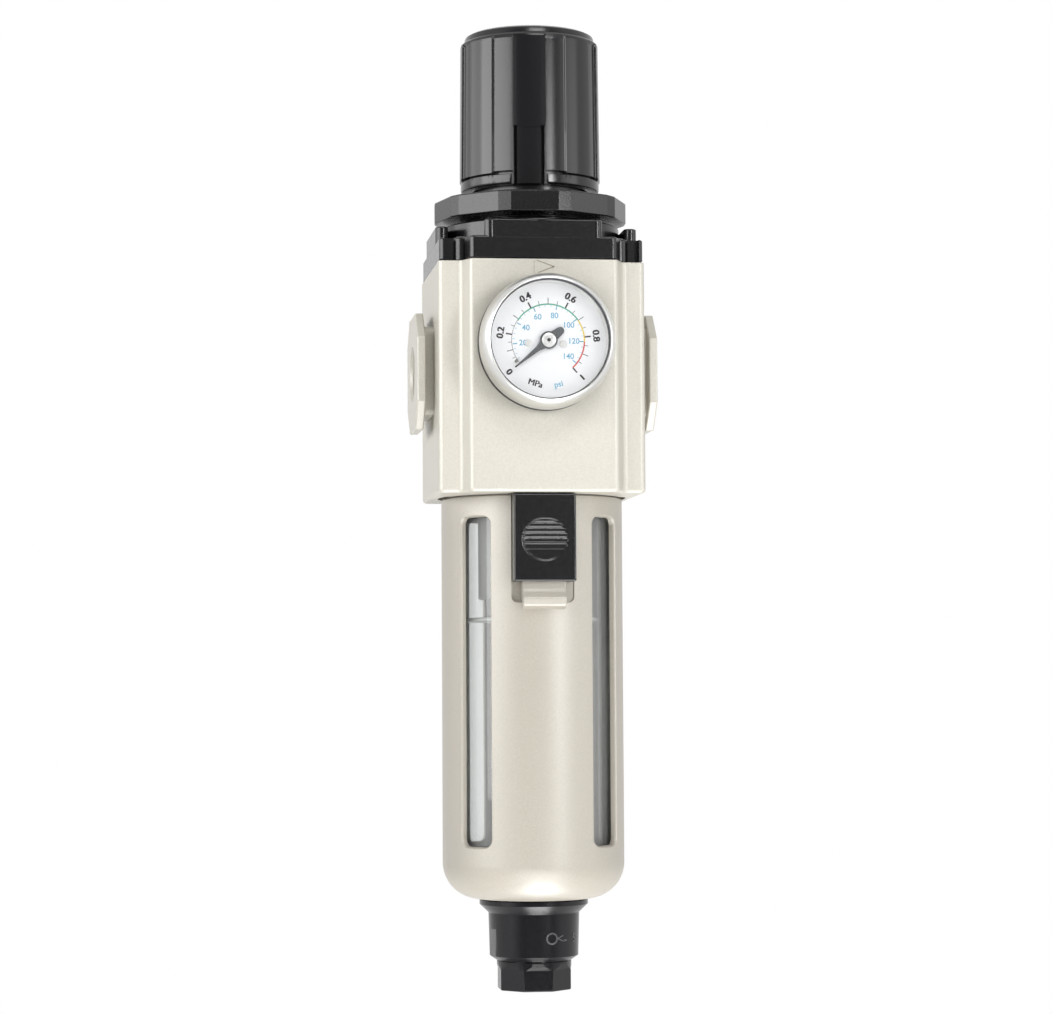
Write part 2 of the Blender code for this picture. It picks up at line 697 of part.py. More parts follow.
def make_knob():
    shoulder = KNOB_TOP - KNOB_CROWN
    knob = prism("knob", knob_outline(), KNOB_BOTTOM + KNOB_RIM, shoulder, BLACK)
    crown = [
        (0, KNOB_TOP),
        (KNOB_RADIUS - KNOB_CROWN, KNOB_TOP),
        (KNOB_RADIUS - KNOB_EDGE, KNOB_TOP - KNOB_EDGE, KNOB_EDGE * 0.75),
        (KNOB_RADIUS - KNOB_EDGE / 4, shoulder),
        (KNOB_RADIUS - KNOB_RECESS - SINK, shoulder - SINK),
        (0, shoulder - SINK),
    ]
    rim = [
        (0, KNOB_BOTTOM + KNOB_RIM + SINK),
        (KNOB_RADIUS - KNOB_RECESS - SINK, KNOB_BOTTOM + KNOB_RIM + SINK),
        (KNOB_RIM_RADIUS, KNOB_BOTTOM + KNOB_RIM),
        (KNOB_RIM_RADIUS, KNOB_BOTTOM),
        (0, KNOB_BOTTOM),
    ]
    join(knob, turned("knob_crown", crown, ROUND_STEPS), turned("knob_rim", rim, ROUND_STEPS))
    hollow = [
        (KNOB_BORE, KNOB_TOP - KNOB_ROOF),
        (KNOB_BORE, KNOB_BOTTOM - PAST),
        (0, KNOB_BOTTOM - PAST),
        (0, KNOB_TOP - KNOB_ROOF - KNOB_HUB_LENGTH),
        (KNOB_HUB_RADIUS, KNOB_TOP - KNOB_ROOF - KNOB_HUB_LENGTH),
        (KNOB_HUB_RADIUS, KNOB_TOP - KNOB_ROOF),
    ]
    cut(knob, turned("knob_hollow", hollow, 24, bored=True))
    hub_bottom = KNOB_TOP - KNOB_ROOF - KNOB_HUB_LENGTH
    hex_radius = (DRIVE_ACROSS / 2 + GAP) / math.cos(math.pi / 6)
    cut(knob, drum("drive_socket", hex_radius, hub_bottom - PAST, KNOB_TOP - KNOB_ROOF + PAST, segments=6))
    slit_far = TONGUE_HALF_WIDTH + TONGUE_SLIT
    slits = repeat(block("slits", (KNOB_BORE - PAST, TONGUE_HALF_WIDTH, KNOB_BOTTOM - PAST),
                         (KNOB_RADIUS + PAST, slit_far, TONGUE_TOP)), 2, -math.pi / 2 + KNOB_TURN)
    others = repeat(block("other_slits", (KNOB_BORE - PAST, -slit_far, KNOB_BOTTOM - PAST),
                          (KNOB_RADIUS + PAST, -TONGUE_HALF_WIDTH, TONGUE_TOP)), 2, -math.pi / 2 + KNOB_TURN)
    faces = repeat(block("tongue_faces", (KNOB_RADIUS - TONGUE_SUNK, -slit_far - TONGUE_SLIT, KNOB_BOTTOM - PAST),
                         (KNOB_RADIUS + PAST, slit_far + TONGUE_SLIT, TONGUE_TOP)), 2, -math.pi / 2 + KNOB_TURN)
    cut(knob, slits, others, faces)
    teeth = sector(KNOB_BORE - TOOTH_REACH + GAP / 2, KNOB_BORE + SINK, math.pi / TEETH, TOOTH_HALF_ANGLE, 1)
    tooth_low = KNOB_BOTTOM + 2 * GAP
    return join(knob, repeat(prism("knob_teeth", teeth, tooth_low, tooth_low + TOOTH_HEIGHT), TEETH))


def seat_top():
    """Where the spring seat's top face stands when the spindle is backed off."""
    return spindle_collar_bottom() - GAP


def spindle_collar_bottom():
    return TOWER_TOP - TOWER_ROOF - GAP - WASHER_THICK - GAP - SPINDLE_COLLAR_THICK


def make_spindle():
    collar = spindle_collar_bottom()
    bar = [
        (0, TOWER_TOP + PAST),
        (SPINDLE_RADIUS, TOWER_TOP + PAST),
        (SPINDLE_RADIUS, collar + SPINDLE_COLLAR_THICK),
        (SPINDLE_COLLAR, collar + SPINDLE_COLLAR_THICK),
        (SPINDLE_COLLAR, collar),
        (SPINDLE_RADIUS, collar),
        (SPINDLE_RADIUS, BODY_TOP + SPINDLE_CLEAR, SPINDLE_RADIUS / 5),
        (0, BODY_TOP + SPINDLE_CLEAR),
    ]
    spindle = turned("adjusting_spindle", bar, 16, STEEL)
    hex_top = KNOB_TOP - KNOB_ROOF - GAP - DRIVE_CLEAR
    hexagon = drum("drive_hexagon", DRIVE_ACROSS / 2 / math.cos(math.pi / 6), TOWER_TOP, hex_top, segments=6)
    join(spindle, hexagon)
    washer_low = collar + SPINDLE_COLLAR_THICK + GAP
    ring = [
        (SPINDLE_COLLAR, washer_low + WASHER_THICK),
        (SPINDLE_COLLAR, washer_low),
        (SPINDLE_RADIUS + GAP, washer_low),
        (SPINDLE_RADIUS + GAP, washer_low + WASHER_THICK),
    ]
    turned("thrust_washer", ring, 16, BRASS, bored=True)
    return spindle


def make_spring_seat():
    top = seat_top()
    low = top - SPRING_SEAT_THICK
    disc = [
        (SPRING_BORE - GAP, top),
        (SPRING_BORE - GAP, low),
        (RANGE_RADIUS - RANGE_WIRE / 2 - GAP, low),
        (RANGE_RADIUS - RANGE_WIRE / 2 - GAP - 0.0005, low - RANGE_WIRE),
        (SPINDLE_RADIUS + THREAD_GAP, low - RANGE_WIRE),
        (SPINDLE_RADIUS + THREAD_GAP, top),
    ]
    seat = turned("spring_seat", disc, 20, BRASS, bored=True)
    key = block("seat_key", (SPRING_BORE - 2 * PAST, -KEYWAY_HALF_WIDTH + GAP, low),
                (SPRING_BORE + KEYWAY_DEPTH - GAP, KEYWAY_HALF_WIDTH - GAP, top))
    return join(seat, repeat(key, 2))


def plate_top():
    return BODY_TOP + GAP + PLATE_THICK


def make_diaphragm():
    top = BODY_TOP
    low = top - DIAPHRAGM_THICK
    ridge = (PLATE_RADIUS + CHAMBER_RADIUS) / 2 - GAP
    bow = CONVOLUTION_RADIUS
    profile = [
        (DIAPHRAGM_RADIUS, top),
        (DIAPHRAGM_RADIUS, low),
        (ridge + bow, low),
        (ridge, low + bow, 0.0009),
        (ridge - bow, low),
        (RELIEF_NECK + GAP, low),
        (RELIEF_NECK + GAP, top),
        (ridge - bow - 0.0004, top),
        (ridge, top + bow, 0.0014),
        (ridge + bow + 0.0004, top),
    ]
    turned("diaphragm", profile, 20, RUBBER, bored=True)
    plate = [
        (PLATE_RADIUS, plate_top() + 0.0010),
        (PLATE_RADIUS, BODY_TOP + GAP),
        (RELIEF_NECK + GAP, BODY_TOP + GAP),
        (RELIEF_NECK + GAP, plate_top()),
        (RANGE_RADIUS + RANGE_WIRE / 2 + GAP, plate_top()),
        (RANGE_RADIUS + RANGE_WIRE / 2 + GAP, plate_top() + 0.0010),
    ]
    turned("diaphragm_plate", plate, 16, STEEL, bored=True)
    seat_low = low - GAP - RELIEF_THICK
    relief = [
        (0, plate_top() + 0.0006),
        (RELIEF_NECK, plate_top() + 0.0006),
        (RELIEF_NECK, low - GAP),
        (RELIEF_RADIUS, low - GAP),
        (RELIEF_RADIUS, seat_low),
        (0, seat_low),
    ]
    turned("relief_seat", relief, 16, BRASS)
    return seat_low


def make_valve(stem_top):
    seal_top = SEAT_Z - GAP
    head_top = seal_top - SEAL_THICK - GAP
    head_low = head_top - POPPET_THICK
    poppet = [
        (0, stem_top - GAP),
        (STEM_RADIUS, stem_top - GAP),
        (STEM_RADIUS, head_top),
        (POPPET_RADIUS, head_top),
        (POPPET_RADIUS, head_low),
        (TAIL_RADIUS, head_low),
        (TAIL_RADIUS, head_low - TAIL_LENGTH),
        (0, head_low - TAIL_LENGTH),
    ]
    turned("poppet", poppet, SMALL_STEPS, BRASS)
    seal = [
        (POPPET_RADIUS - GAP, seal_top),
        (POPPET_RADIUS - GAP, seal_top - SEAL_THICK),
        (STEM_RADIUS + GAP, seal_top - SEAL_THICK),
        (STEM_RADIUS + GAP, seal_top),
    ]
    turned("poppet_seal", seal, SMALL_STEPS, RUBBER, bored=True)
    spring_radius = POPPET_RADIUS - VALVE_WIRE
    coil("valve_spring", spring_radius, VALVE_WIRE, HUB_TOP + GAP, head_low - GAP, 4, STEEL, 7)
    return head_low


def filter_levels():
    """The z of the element's top and bottom, hung under the spigot and the deflector's flange."""
    top = SPIGOT_BOTTOM - GAP - DEFLECTOR_FLANGE - GAP
    return top, top - ELEMENT_LENGTH


def make_valve_guide(tail_low):
    ring_outer = VALVE_BORE - THREAD_GAP
    ring = [
        (ring_outer, GUIDE_TOP),
        (ring_outer, SPIGOT_BOTTOM),
        (ring_outer - GUIDE_RING_WALL, SPIGOT_BOTTOM),
        (ring_outer - GUIDE_RING_WALL, GUIDE_TOP),
    ]
    stud_low = filter_levels()[1] - GAP - BAFFLE_THICK - BAFFLE_HUB_LENGTH
    hub = [
        (0, HUB_TOP),
        (POPPET_RADIUS, HUB_TOP),
        (POPPET_RADIUS, HUB_TOP - 0.0012),
        (HUB_RADIUS, HUB_TOP - 0.0030),
        (HUB_RADIUS, SPIGOT_BOTTOM),
        (STUD_RADIUS, SPIGOT_BOTTOM),
        (STUD_RADIUS, stud_low),
        (0, stud_low),
    ]
    guide = turned("valve_guide", hub, 16, BLACK)
    reach = ring_outer - GUIDE_RING_WALL / 2
    cross = [
        block("spokes_x", (-reach, -SPOKE_WIDTH / 2, SPIGOT_BOTTOM), (reach, SPOKE_WIDTH / 2, GUIDE_TOP - 0.0060)),
        block("spokes_y", (-SPOKE_WIDTH / 2, -reach, SPIGOT_BOTTOM), (SPOKE_WIDTH / 2, reach, GUIDE_TOP - 0.0060)),
    ]
    join(guide, *cross, turned("guide_ring", ring, 20, bored=True))
    well = drum("tail_well", TAIL_RADIUS + GAP, tail_low - 0.0025, HUB_TOP + PAST)
    return cut(guide, well)


def make_filter():
    top, low = filter_levels()
    flange_top = SPIGOT_BOTTOM - GAP
    outer = DEFLECTOR_INNER + DEFLECTOR_WALL
    shell = [
        (outer, SOCKET_CEILING - GAP),
        (outer, low + ELEMENT_SHOWN),
        (DEFLECTOR_INNER, low + ELEMENT_SHOWN),
        (DEFLECTOR_INNER, flange_top - DEFLECTOR_FLANGE),
        (VALVE_BORE, flange_top - DEFLECTOR_FLANGE),
        (VALVE_BORE, flange_top),
        (DEFLECTOR_INNER, flange_top),
        (DEFLECTOR_INNER, SOCKET_CEILING - GAP),
    ]
    deflector = turned("deflector", shell, 20, ("#D9D8D2", 0.5, 0.0), bored=True)
    vane = block("vanes", (outer - SINK, -0.0006, -0.0040), (VANE_REACH, 0.0006, 0.0040))
    vane.data.transform(Matrix.Translation((0, 0, VANE_Z)) @ Matrix.Rotation(VANE_TILT, 4, "X"))
    join(deflector, repeat(vane, VANE_COUNT))
    sleeve = [
        (ELEMENT_RADIUS, top),
        (ELEMENT_RADIUS, low),
        (ELEMENT_RADIUS - ELEMENT_WALL, low),
        (ELEMENT_RADIUS - ELEMENT_WALL, top),
    ]
    turned("filter_element", sleeve, 20, ("#E8E6DE", 0.9, 0.0), bored=True)
    plate_high = low - GAP
    bore = STUD_RADIUS + THREAD_GAP
    plug = ELEMENT_RADIUS - ELEMENT_WALL - GAP
    disc = [
        (plug, plate_high + 0.0020),
        (plug, plate_high),
        (BAFFLE_RADIUS, plate_high),
        (BAFFLE_RADIUS, plate_high - BAFFLE_THICK),
        (BAFFLE_HUB_RADIUS, plate_high - BAFFLE_THICK),
        (BAFFLE_HUB_RADIUS, plate_high - BAFFLE_THICK - BAFFLE_HUB_LENGTH),
        (bore, plate_high - BAFFLE_THICK - BAFFLE_HUB_LENGTH),
        (bore, plate_high + 0.0020),
    ]
    turned("baffle", disc, 20, ("#EDEDEA", 0.45, 0.0), bored=True)


def make_bowl():
    flange_top = BOWL_TOP - BOWL_NECK_LENGTH
    groove_top = (BOWL_TOP + flange_top) / 2 + RING_SECTION / 2 + GAP
    groove_low = groove_top - RING_SECTION - 2 * GAP
    groove_floor = BOWL_FLANGE_RADIUS - RING_SECTION
    inner = BOWL_RADIUS - BOWL_WALL
    hole = COLLAR_STEM_RADIUS + GAP
    profile = [
        (BOWL_NECK_RADIUS, BOWL_TOP),
        (BOWL_NECK_RADIUS, groove_top),
        (groove_floor, groove_top),
        (groove_floor, groove_low),
        (BOWL_NECK_RADIUS, groove_low),
        (BOWL_NECK_RADIUS, flange_top),
        (BOWL_FLANGE_RADIUS, flange_top),
        (BOWL_FLANGE_RADIUS, BOWL_FLANGE_BOTTOM),
        (BOWL_RADIUS, BOWL_FLANGE_BOTTOM),
        (BOWL_RADIUS, BOWL_BOTTOM, BOWL_CORNER),
        (hole, BOWL_BOTTOM),
        (hole, BOWL_BOTTOM + BOWL_FLOOR),
        (inner, BOWL_BOTTOM + BOWL_FLOOR, BOWL_CORNER - BOWL_WALL),
        (inner, BOWL_TOP),
    ]
    turned("bowl", profile, ROUND_STEPS, ("#DFE6EA", 0.05, 0.0, 0.35), bored=True)
    section = RING_SECTION / 2 - GAP / 2
    middle = groove_floor + GAP + section
    level = (groove_top + groove_low) / 2
    angles = np.linspace(0, -math.tau, 6, endpoint=False)
    profile = [(middle + section * math.cos(a), level + section * math.sin(a)) for a in angles]
    turned("bowl_o_ring", profile, 24, RUBBER, bored=True)


def guard_profile(offset, top, floor):
    """The guard's outside, or with an offset its inside, from the top to the axis at the bottom."""
    return [
        (0, top),
        (GUARD_RADIUS - offset, top),
        (GUARD_RADIUS - offset, GUARD_BOTTOM + floor, GUARD_CORNER - offset),
        (0, GUARD_BOTTOM + floor),
    ]


def make_guard():
    guard = turned("bowl_guard", guard_profile(0, GUARD_SHOULDER, 0), FINE_STEPS, CASTING)
    neck = drum("guard_neck", GUARD_NECK_RADIUS, GUARD_SHOULDER - SINK, GUARD_TOP, segments=FINE_STEPS)
    lug = sector(GUARD_NECK_RADIUS - GUARD_NECK_WALL / 2, LUG_REACH, math.pi / 4, LUG_HALF_ANGLE)
    join(guard, neck, repeat(prism("lugs", lug, LUG_BOTTOM, LUG_TOP), LUG_COUNT))
    half = LATCH_HALF_WIDTH + GAP
    pocket_radius = GUARD_RADIUS - POCKET_DEPTH
    edge = math.asin(half / pocket_radius)
    floor = arc(pocket_radius, -math.pi / 2 + edge, -math.pi / 2 - edge, 4)
    room = [Vector((-half, -LATCH_FACE)), Vector((half, -LATCH_FACE))] + floor
    cut(guard, prism("latch_pocket", room, POCKET_BOTTOM, GUARD_SHOULDER + PAST, round_low=0.0004, segments=1))
    pad_top = pad_level()
    lip = POCKET_BOTTOM - 0.0014
    side = [
        (pad_top, GUARD_RADIUS - GUARD_WALL - SINK),
        (pad_top, PAD_FACE, 0.0003),
        (LATCH_BOTTOM - LATCH_TRAVEL - 0.0004, PAD_FACE, 0.0020),
        (lip + 0.0024, PAD_LIP, 0.0008),
        (lip + 0.0006, PAD_LIP - 0.0004, 0.0010),
        (lip, GUARD_RADIUS - GUARD_WALL - SINK),
    ]
    outline = [Vector((-z, -y)) for z, y in [tuple(p) for p in filleted(side)]]
    pad = prism("latch_pad", outline, -PAD_HALF_WIDTH, PAD_HALF_WIDTH)
    join(guard, placed(pad, rotation=TO_RIGHT))
    inside = guard_profile(GUARD_WALL, GUARD_SHOULDER - PAST, GUARD_FLOOR)
    neck_bore = GUARD_NECK_RADIUS - GUARD_NECK_WALL
    cut(guard, turned("guard_inside", inside, FINE_STEPS))
    cut(guard, drum("neck_bore", neck_bore, GUARD_SHOULDER - 2 * PAST, GUARD_TOP + PAST, segments=FINE_STEPS))
    hole = COLLAR_STEM_RADIUS + GAP
    cut(guard, drum("guard_hole", hole, GUARD_BOTTOM - PAST, GUARD_BOTTOM + GUARD_FLOOR + PAST, segments=24))
    middle = (SIGHT_TOP + SIGHT_BOTTOM) / 2
    sight = rounded_box(SIGHT_WIDTH / 2, (SIGHT_TOP - SIGHT_BOTTOM) / 2, SIGHT_CORNER)
    slots = prism("sight_slots", sight, GUARD_RADIUS - 4 * GUARD_WALL, GUARD_RADIUS + PAST)
    slots.data.transform(Matrix.Translation((0, 0, middle)) @ Matrix.Rotation(math.pi / 2, 4, "X"))
    cut(guard, repeat(slots, LUG_COUNT, math.pi / 4))
    window = (
        (-WINDOW_HALF_WIDTH, -GUARD_RADIUS - PAST, pad_top),
        (WINDOW_HALF_WIDTH, -GUARD_RADIUS + 2 * GUARD_WALL, LATCH_TOP - 0.0025),
    )
    return cut(guard, block("latch_window", *window))


def pad_level():
    return POCKET_BOTTOM - 0.0014 + PAD_LENGTH


def make_latch():
    back_radius = GUARD_RADIUS - POCKET_DEPTH + GAP
    edge = math.asin(LATCH_HALF_WIDTH / back_radius)
    back = arc(back_radius, -math.pi / 2 + edge, -math.pi / 2 - edge, 4)
    round_edge = 0.0004
    front = filleted([
        (-LATCH_HALF_WIDTH, -back_radius * math.cos(edge)),
        (-LATCH_HALF_WIDTH, -LATCH_FACE, round_edge),
        (LATCH_HALF_WIDTH, -LATCH_FACE, round_edge),
        (LATCH_HALF_WIDTH, -back_radius * math.cos(edge)),
    ], closed=False)
    latch = prism("latch", front[1:-1] + back, LATCH_BOTTOM, LATCH_TOP, BLACK)
    inside = LATCH_HALF_WIDTH - LATCH_WALL
    hollow = block("latch_hollow", (-inside, -LATCH_FACE + LATCH_WALL, LATCH_BOTTOM - PAST),
                   (inside, -back_radius / 2, LATCH_TOP - LATCH_WALL))
    cut(latch, hollow)
    scoop_z = (LATCH_TOP + LATCH_BOTTOM) / 2 - 0.0012
    centre_y = -LATCH_FACE + SCOOP_DEPTH - SCOOP_RADIUS
    reach = math.sqrt(SCOOP_RADIUS**2 - (SCOOP_RADIUS - SCOOP_DEPTH) ** 2)
    roller = placed(drum("scoop_roller", SCOOP_RADIUS, -LATCH_HALF_WIDTH, LATCH_HALF_WIDTH, segments=96),
                    (0, centre_y, scoop_z), TO_RIGHT)
    oval = [Vector((SCOOP_HALF_WIDTH * p.x, reach * 1.02 * p.y)) for p in arc(1, 0, math.tau, 24)[:-1]]
    scoop = placed(prism("thumb_scoop", oval, 0, LATCH_FACE + PAST), (0, 0, scoop_z), TO_FRONT)
    combine(scoop, "INTERSECT", roller)
    cut(latch, scoop)
    for k in range(RIDGE_COUNT):
        rise = (k - (RIDGE_COUNT - 1) / 2) * RIDGE_PITCH
        depth = centre_y + math.sqrt(SCOOP_RADIUS**2 - rise**2)
        half = SCOOP_HALF_WIDTH * math.sqrt(1 - (rise / reach / 1.02) ** 2) + RIDGE_RADIUS / 2
        ridge = drum(f"ridge_{k + 1}", RIDGE_RADIUS, -half, half, segments=8)
        join(latch, placed(ridge, (0, depth, scoop_z + rise), TO_RIGHT))
    stem_top = LATCH_TOP - LATCH_STEM_DROP - GAP
    stem_low = stem_top - LATCH_STEM_HEIGHT
    half = WINDOW_HALF_WIDTH - GAP
    inner = BOWL_RADIUS + GAP
    stem = block("latch_stem", (-half, -LATCH_FACE + LATCH_WALL - SINK, stem_low), (half, -inner - 0.0004, stem_top))
    foot_edge = math.asin(LATCH_FOOT_HALF_WIDTH / inner)
    foot_outer = GUARD_RADIUS - GUARD_WALL - GAP
    foot = sector(inner, foot_outer, -math.pi / 2, foot_edge)
    return join(latch, stem, prism("latch_foot", foot, stem_low, stem_low + LATCH_FOOT_HEIGHT))


def make_latch_spring():
    top = LATCH_TOP - LATCH_STEM_DROP - LATCH_STEM_HEIGHT - 2 * GAP
    room = (LATCH_FACE - LATCH_WALL + BOWL_RADIUS + 0.0012) / 2
    coil("latch_spring", 0.00125, 0.0005, pad_level() + GAP, top, 4, STEEL, 6, (0, -room))


def make_drain():
    cone_low = COLLAR_TOP - COLLAR_FLANGE_THICK - COLLAR_CONE
    room_top = DRAIN_KNOB_TOP + DRAIN_BOSS_LENGTH + DRAIN_FOOT + DRAIN_LIFT + 2 * GAP
    collar = [
        (DRAIN_BORE, COLLAR_STEM_TOP),
        (COLLAR_STEM_RADIUS, COLLAR_STEM_TOP),
        (COLLAR_STEM_RADIUS, COLLAR_TOP),
        (COLLAR_FLANGE_RADIUS, COLLAR_TOP),
        (COLLAR_FLANGE_RADIUS, COLLAR_TOP - COLLAR_FLANGE_THICK),
        (COLLAR_RADIUS, cone_low),
        (COLLAR_RADIUS, COLLAR_BOTTOM + COLLAR_CHAMFER),
        (COLLAR_RADIUS - COLLAR_CHAMFER, COLLAR_BOTTOM),
        (DRAIN_BOSS_RADIUS + GAP, COLLAR_BOTTOM),
        (DRAIN_BOSS_RADIUS + GAP, room_top),
        (DRAIN_BORE, room_top),
    ]
    turned("drain_collar", collar, ROUND_STEPS, BLACK, bored=True)
    gasket_low = BOWL_BOTTOM + BOWL_FLOOR + GAP
    inner = COLLAR_STEM_RADIUS + GAP
    gasket = [
        (inner + GASKET_WIDTH, gasket_low + GASKET_THICK),
        (inner + GASKET_WIDTH, gasket_low),
        (inner, gasket_low),
        (inner, gasket_low + GASKET_THICK),
    ]
    turned("drain_gasket", gasket, SMALL_STEPS, RUBBER, bored=True)
    nut_low = gasket_low + GASKET_THICK + GAP
    nut = drum("drain_nut", DRAIN_NUT_RADIUS, nut_low, nut_low + DRAIN_NUT_THICK, BLACK, segments=6)
    cut(nut, drum("drain_nut_bore", inner, nut_low - PAST, nut_low + DRAIN_NUT_THICK + PAST))
    knob_low = DRAIN_KNOB_TOP - DRAIN_KNOB_LENGTH
    octagon = DRAIN_KNOB_ACROSS / 2 / math.cos(math.pi / 8)
    knob = drum("drain_knob", octagon, knob_low, DRAIN_KNOB_TOP, BLACK, segments=8)
    knob.data.transform(Matrix.Rotation(math.pi / 8, 4, "Z"))
    boss_top = DRAIN_KNOB_TOP + DRAIN_BOSS_LENGTH
    join(knob, drum("drain_boss", DRAIN_BOSS_RADIUS, DRAIN_KNOB_TOP - SINK, boss_top, segments=32))
    cut(knob, drum("drain_outlet", DRAIN_OUTLET_RADIUS, knob_low - PAST, knob_low + DRAIN_OUTLET_DEPTH),
        drum("drain_way", DRAIN_BORE, knob_low, boss_top + PAST, segments=12))
    stem_low = boss_top + GAP
    head_low = COLLAR_STEM_TOP + GAP
    stem = [
        (0, head_low + 0.0016),
        (DRAIN_HEAD_RADIUS, head_low + 0.0016),
        (DRAIN_HEAD_RADIUS, head_low),
        (DRAIN_STEM_RADIUS, head_low),
        (DRAIN_STEM_RADIUS, stem_low + DRAIN_FOOT),
        (DRAIN_BORE + 0.0014, stem_low + DRAIN_FOOT),
        (DRAIN_BORE + 0.0014, stem_low),
        (0, stem_low),
    ]
    turned("drain_stem", stem, 12, BRASS)


def gauge_front():
    """How far the gauge's case back stands in front of the bowl axis."""
    return PANEL_FACE + GAP


def make_gauge():
    back = gauge_front()
    front = back + GAUGE_DEPTH
    axis = ((0, 0, GAUGE_Z), TO_FRONT)
    bezel_back = front - BEZEL_LENGTH
    lens_front = front - BEZEL_LIP - GAP
    lens_back = lens_front - LENS_THICK
    case_front = lens_back - GAP
    case_outer = GAUGE_RADIUS - BEZEL_WALL - GAP
    curve_rise = GAUGE_RADIUS - LENS_OPENING - 0.0004
    swell = [
        (GAUGE_RADIUS - curve_rise * (1 - math.cos(a)), front - BEZEL_CURVE * (1 - math.sin(a)))
        for a in np.linspace(math.pi / 2, 0, 4)
    ]
    bezel = [(LENS_OPENING, front)] + swell + [
        (GAUGE_RADIUS, bezel_back),
        (GAUGE_RADIUS - BEZEL_WALL, bezel_back),
        (GAUGE_RADIUS - BEZEL_WALL, case_front + GAP),
        (LENS_RADIUS + GAP, case_front + GAP),
        (LENS_RADIUS + GAP, front - BEZEL_LIP),
        (LENS_OPENING, front - BEZEL_LIP),
    ]
    placed(turned("gauge_bezel", bezel, FINE_STEPS, ("#D5D6D6", 0.18, 1.0), bored=True), *axis)
    case = [
        (case_outer, case_front),
        (case_outer, back, 0.0010),
        (GAUGE_STEM_RADIUS + GAP, back),
        (GAUGE_STEM_RADIUS + GAP, back + CASE_WALL),
        (case_outer - CASE_WALL, back + CASE_WALL),
        (case_outer - CASE_WALL, case_front),
    ]
    placed(turned("gauge_case", case, 20, ("#E4E4E2", 0.30, 0.6), bored=True), *axis)
    placed(drum("gauge_lens", LENS_RADIUS, lens_back, lens_front, ("#F4F7F8", 0.03, 0.0, 0.15), ROUND_STEPS), *axis)
    dial_back = back + DIAL_DEPTH
    dial = drum("gauge_dial", DIAL_RADIUS, dial_back, dial_back + DIAL_THICK, ("#F6F6F3", 0.5, 0.0), ROUND_STEPS)
    shaft_hole = placed(drum("dial_hole", 0.0010, dial_back - PAST, dial_back + PAST, segments=12), *axis)
    placed(cut(dial, shaft_hole), *axis)
    head_low = dial_back + DIAL_THICK + GAP
    for k, (x, z) in enumerate(((-0.0049, -0.0006), (0.0036, -0.0009)), 1):
        screw = drum(f"dial_screw_{k}", 0.00095, head_low, head_low + 0.0004, STEEL, 12)
        placed(screw, (x, 0, GAUGE_Z + z), TO_FRONT)
    needle_low = head_low + 0.0006
    needle = [
        Vector((-0.00045, 0)),
        Vector((-0.00045, -POINTER_TAIL + 0.0013)),
        *[Vector((p.x, p.y - POINTER_TAIL + 0.0010)) for p in arc(0.0010, -math.pi * 1.1, math.pi * 0.1, 4)],
        Vector((0.00045, -POINTER_TAIL + 0.0013)),
        Vector((0.00045, 0)),
        Vector((0.00012, POINTER_REACH)),
        Vector((-0.00012, POINTER_REACH)),
    ]
    pointer = prism("gauge_pointer", needle, needle_low, needle_low + 0.0003, ("#3A3C3E", 0.4, 0.0))
    hub = [
        (0, needle_low + 0.0011),
        (0.0011, needle_low + 0.0011),
        (0.0017, needle_low + 0.0003),
        (0.0017, needle_low - 0.0001),
        (0.0007, needle_low - 0.0001),
        (0.0007, dial_back - 0.0022),
        (0, dial_back - 0.0022),
    ]
    pointer_rotation = (math.pi / 2, POINTER_REST, 0)
    join(pointer, placed(turned("pointer_hub", hub, 12), *axis))
    placed(pointer, (0, 0, GAUGE_Z), pointer_rotation)
    pointer.rotation_mode = "XYZ"
    pointer.matrix_world = (
        Matrix.Translation((0, 0, GAUGE_Z))
        @ Matrix.Rotation(-POINTER_REST, 4, "Y")
        @ Matrix.Rotation(math.pi / 2, 4, "X")
    )
    stem_low = PANEL_FACE - GAUGE_PORT_DEPTH + 0.0030
    stem = [
        (0, back + 0.0024),
        (GAUGE_STEM_RADIUS, back + 0.0024),
        (GAUGE_STEM_RADIUS, back - GAP),
        (GAUGE_PORT_RADIUS - THREAD_GAP, back - GAP),
        (GAUGE_PORT_RADIUS - THREAD_GAP, stem_low, 0.0005),
        (0.0010, stem_low),
        (0.0010, stem_low + 0.0060),
        (0, stem_low + 0.0060),
    ]
    placed(turned("gauge_stem", stem, SMALL_STEPS, BRASS), *axis)
    return back


def make_bourdon_tube(back):
    """The gauge's spring tube: it rises from the stem and runs in a C round the inside of the case."""
    level = back + 0.0036
    curve = bpy.data.curves.new("bourdon_tube", "CURVE")
    curve.dimensions = "3D"
    curve.bevel_depth = TUBE_SECTION
    curve.bevel_resolution = 1
    curve.use_fill_caps = True
    a = np.linspace(math.radians(-75), math.radians(150), 16)
    x = np.append(0, TUBE_RADIUS * np.cos(a))
    y = np.append(-TUBE_SECTION * 2, TUBE_RADIUS * np.sin(a))
    ring = np.column_stack((x, y, np.full_like(x, level)))
    spline = curve.splines.new("POLY")
    spline.points.add(len(ring) - 1)
    spline.points.foreach_set("co", np.column_stack((ring, np.ones(len(ring)))).ravel())
    placed(add_object("bourdon_tube", curve, BRASS), (0, 0, GAUGE_Z), TO_FRONT)


def make_rear_plug():
    face = PANEL_FACE - GAP
    plug = drum("rear_port_plug", GAUGE_PORT_RADIUS - THREAD_GAP, face - PLUG_LENGTH, face, STEEL)
    place = ((0, 0, GAUGE_Z), TO_REAR)
    socket = placed(drum("plug_socket", PLUG_SOCKET, face - PLUG_SOCKET_DEPTH, face + PAST, segments=6), *place)
    return placed(cut(plug, socket), *place)


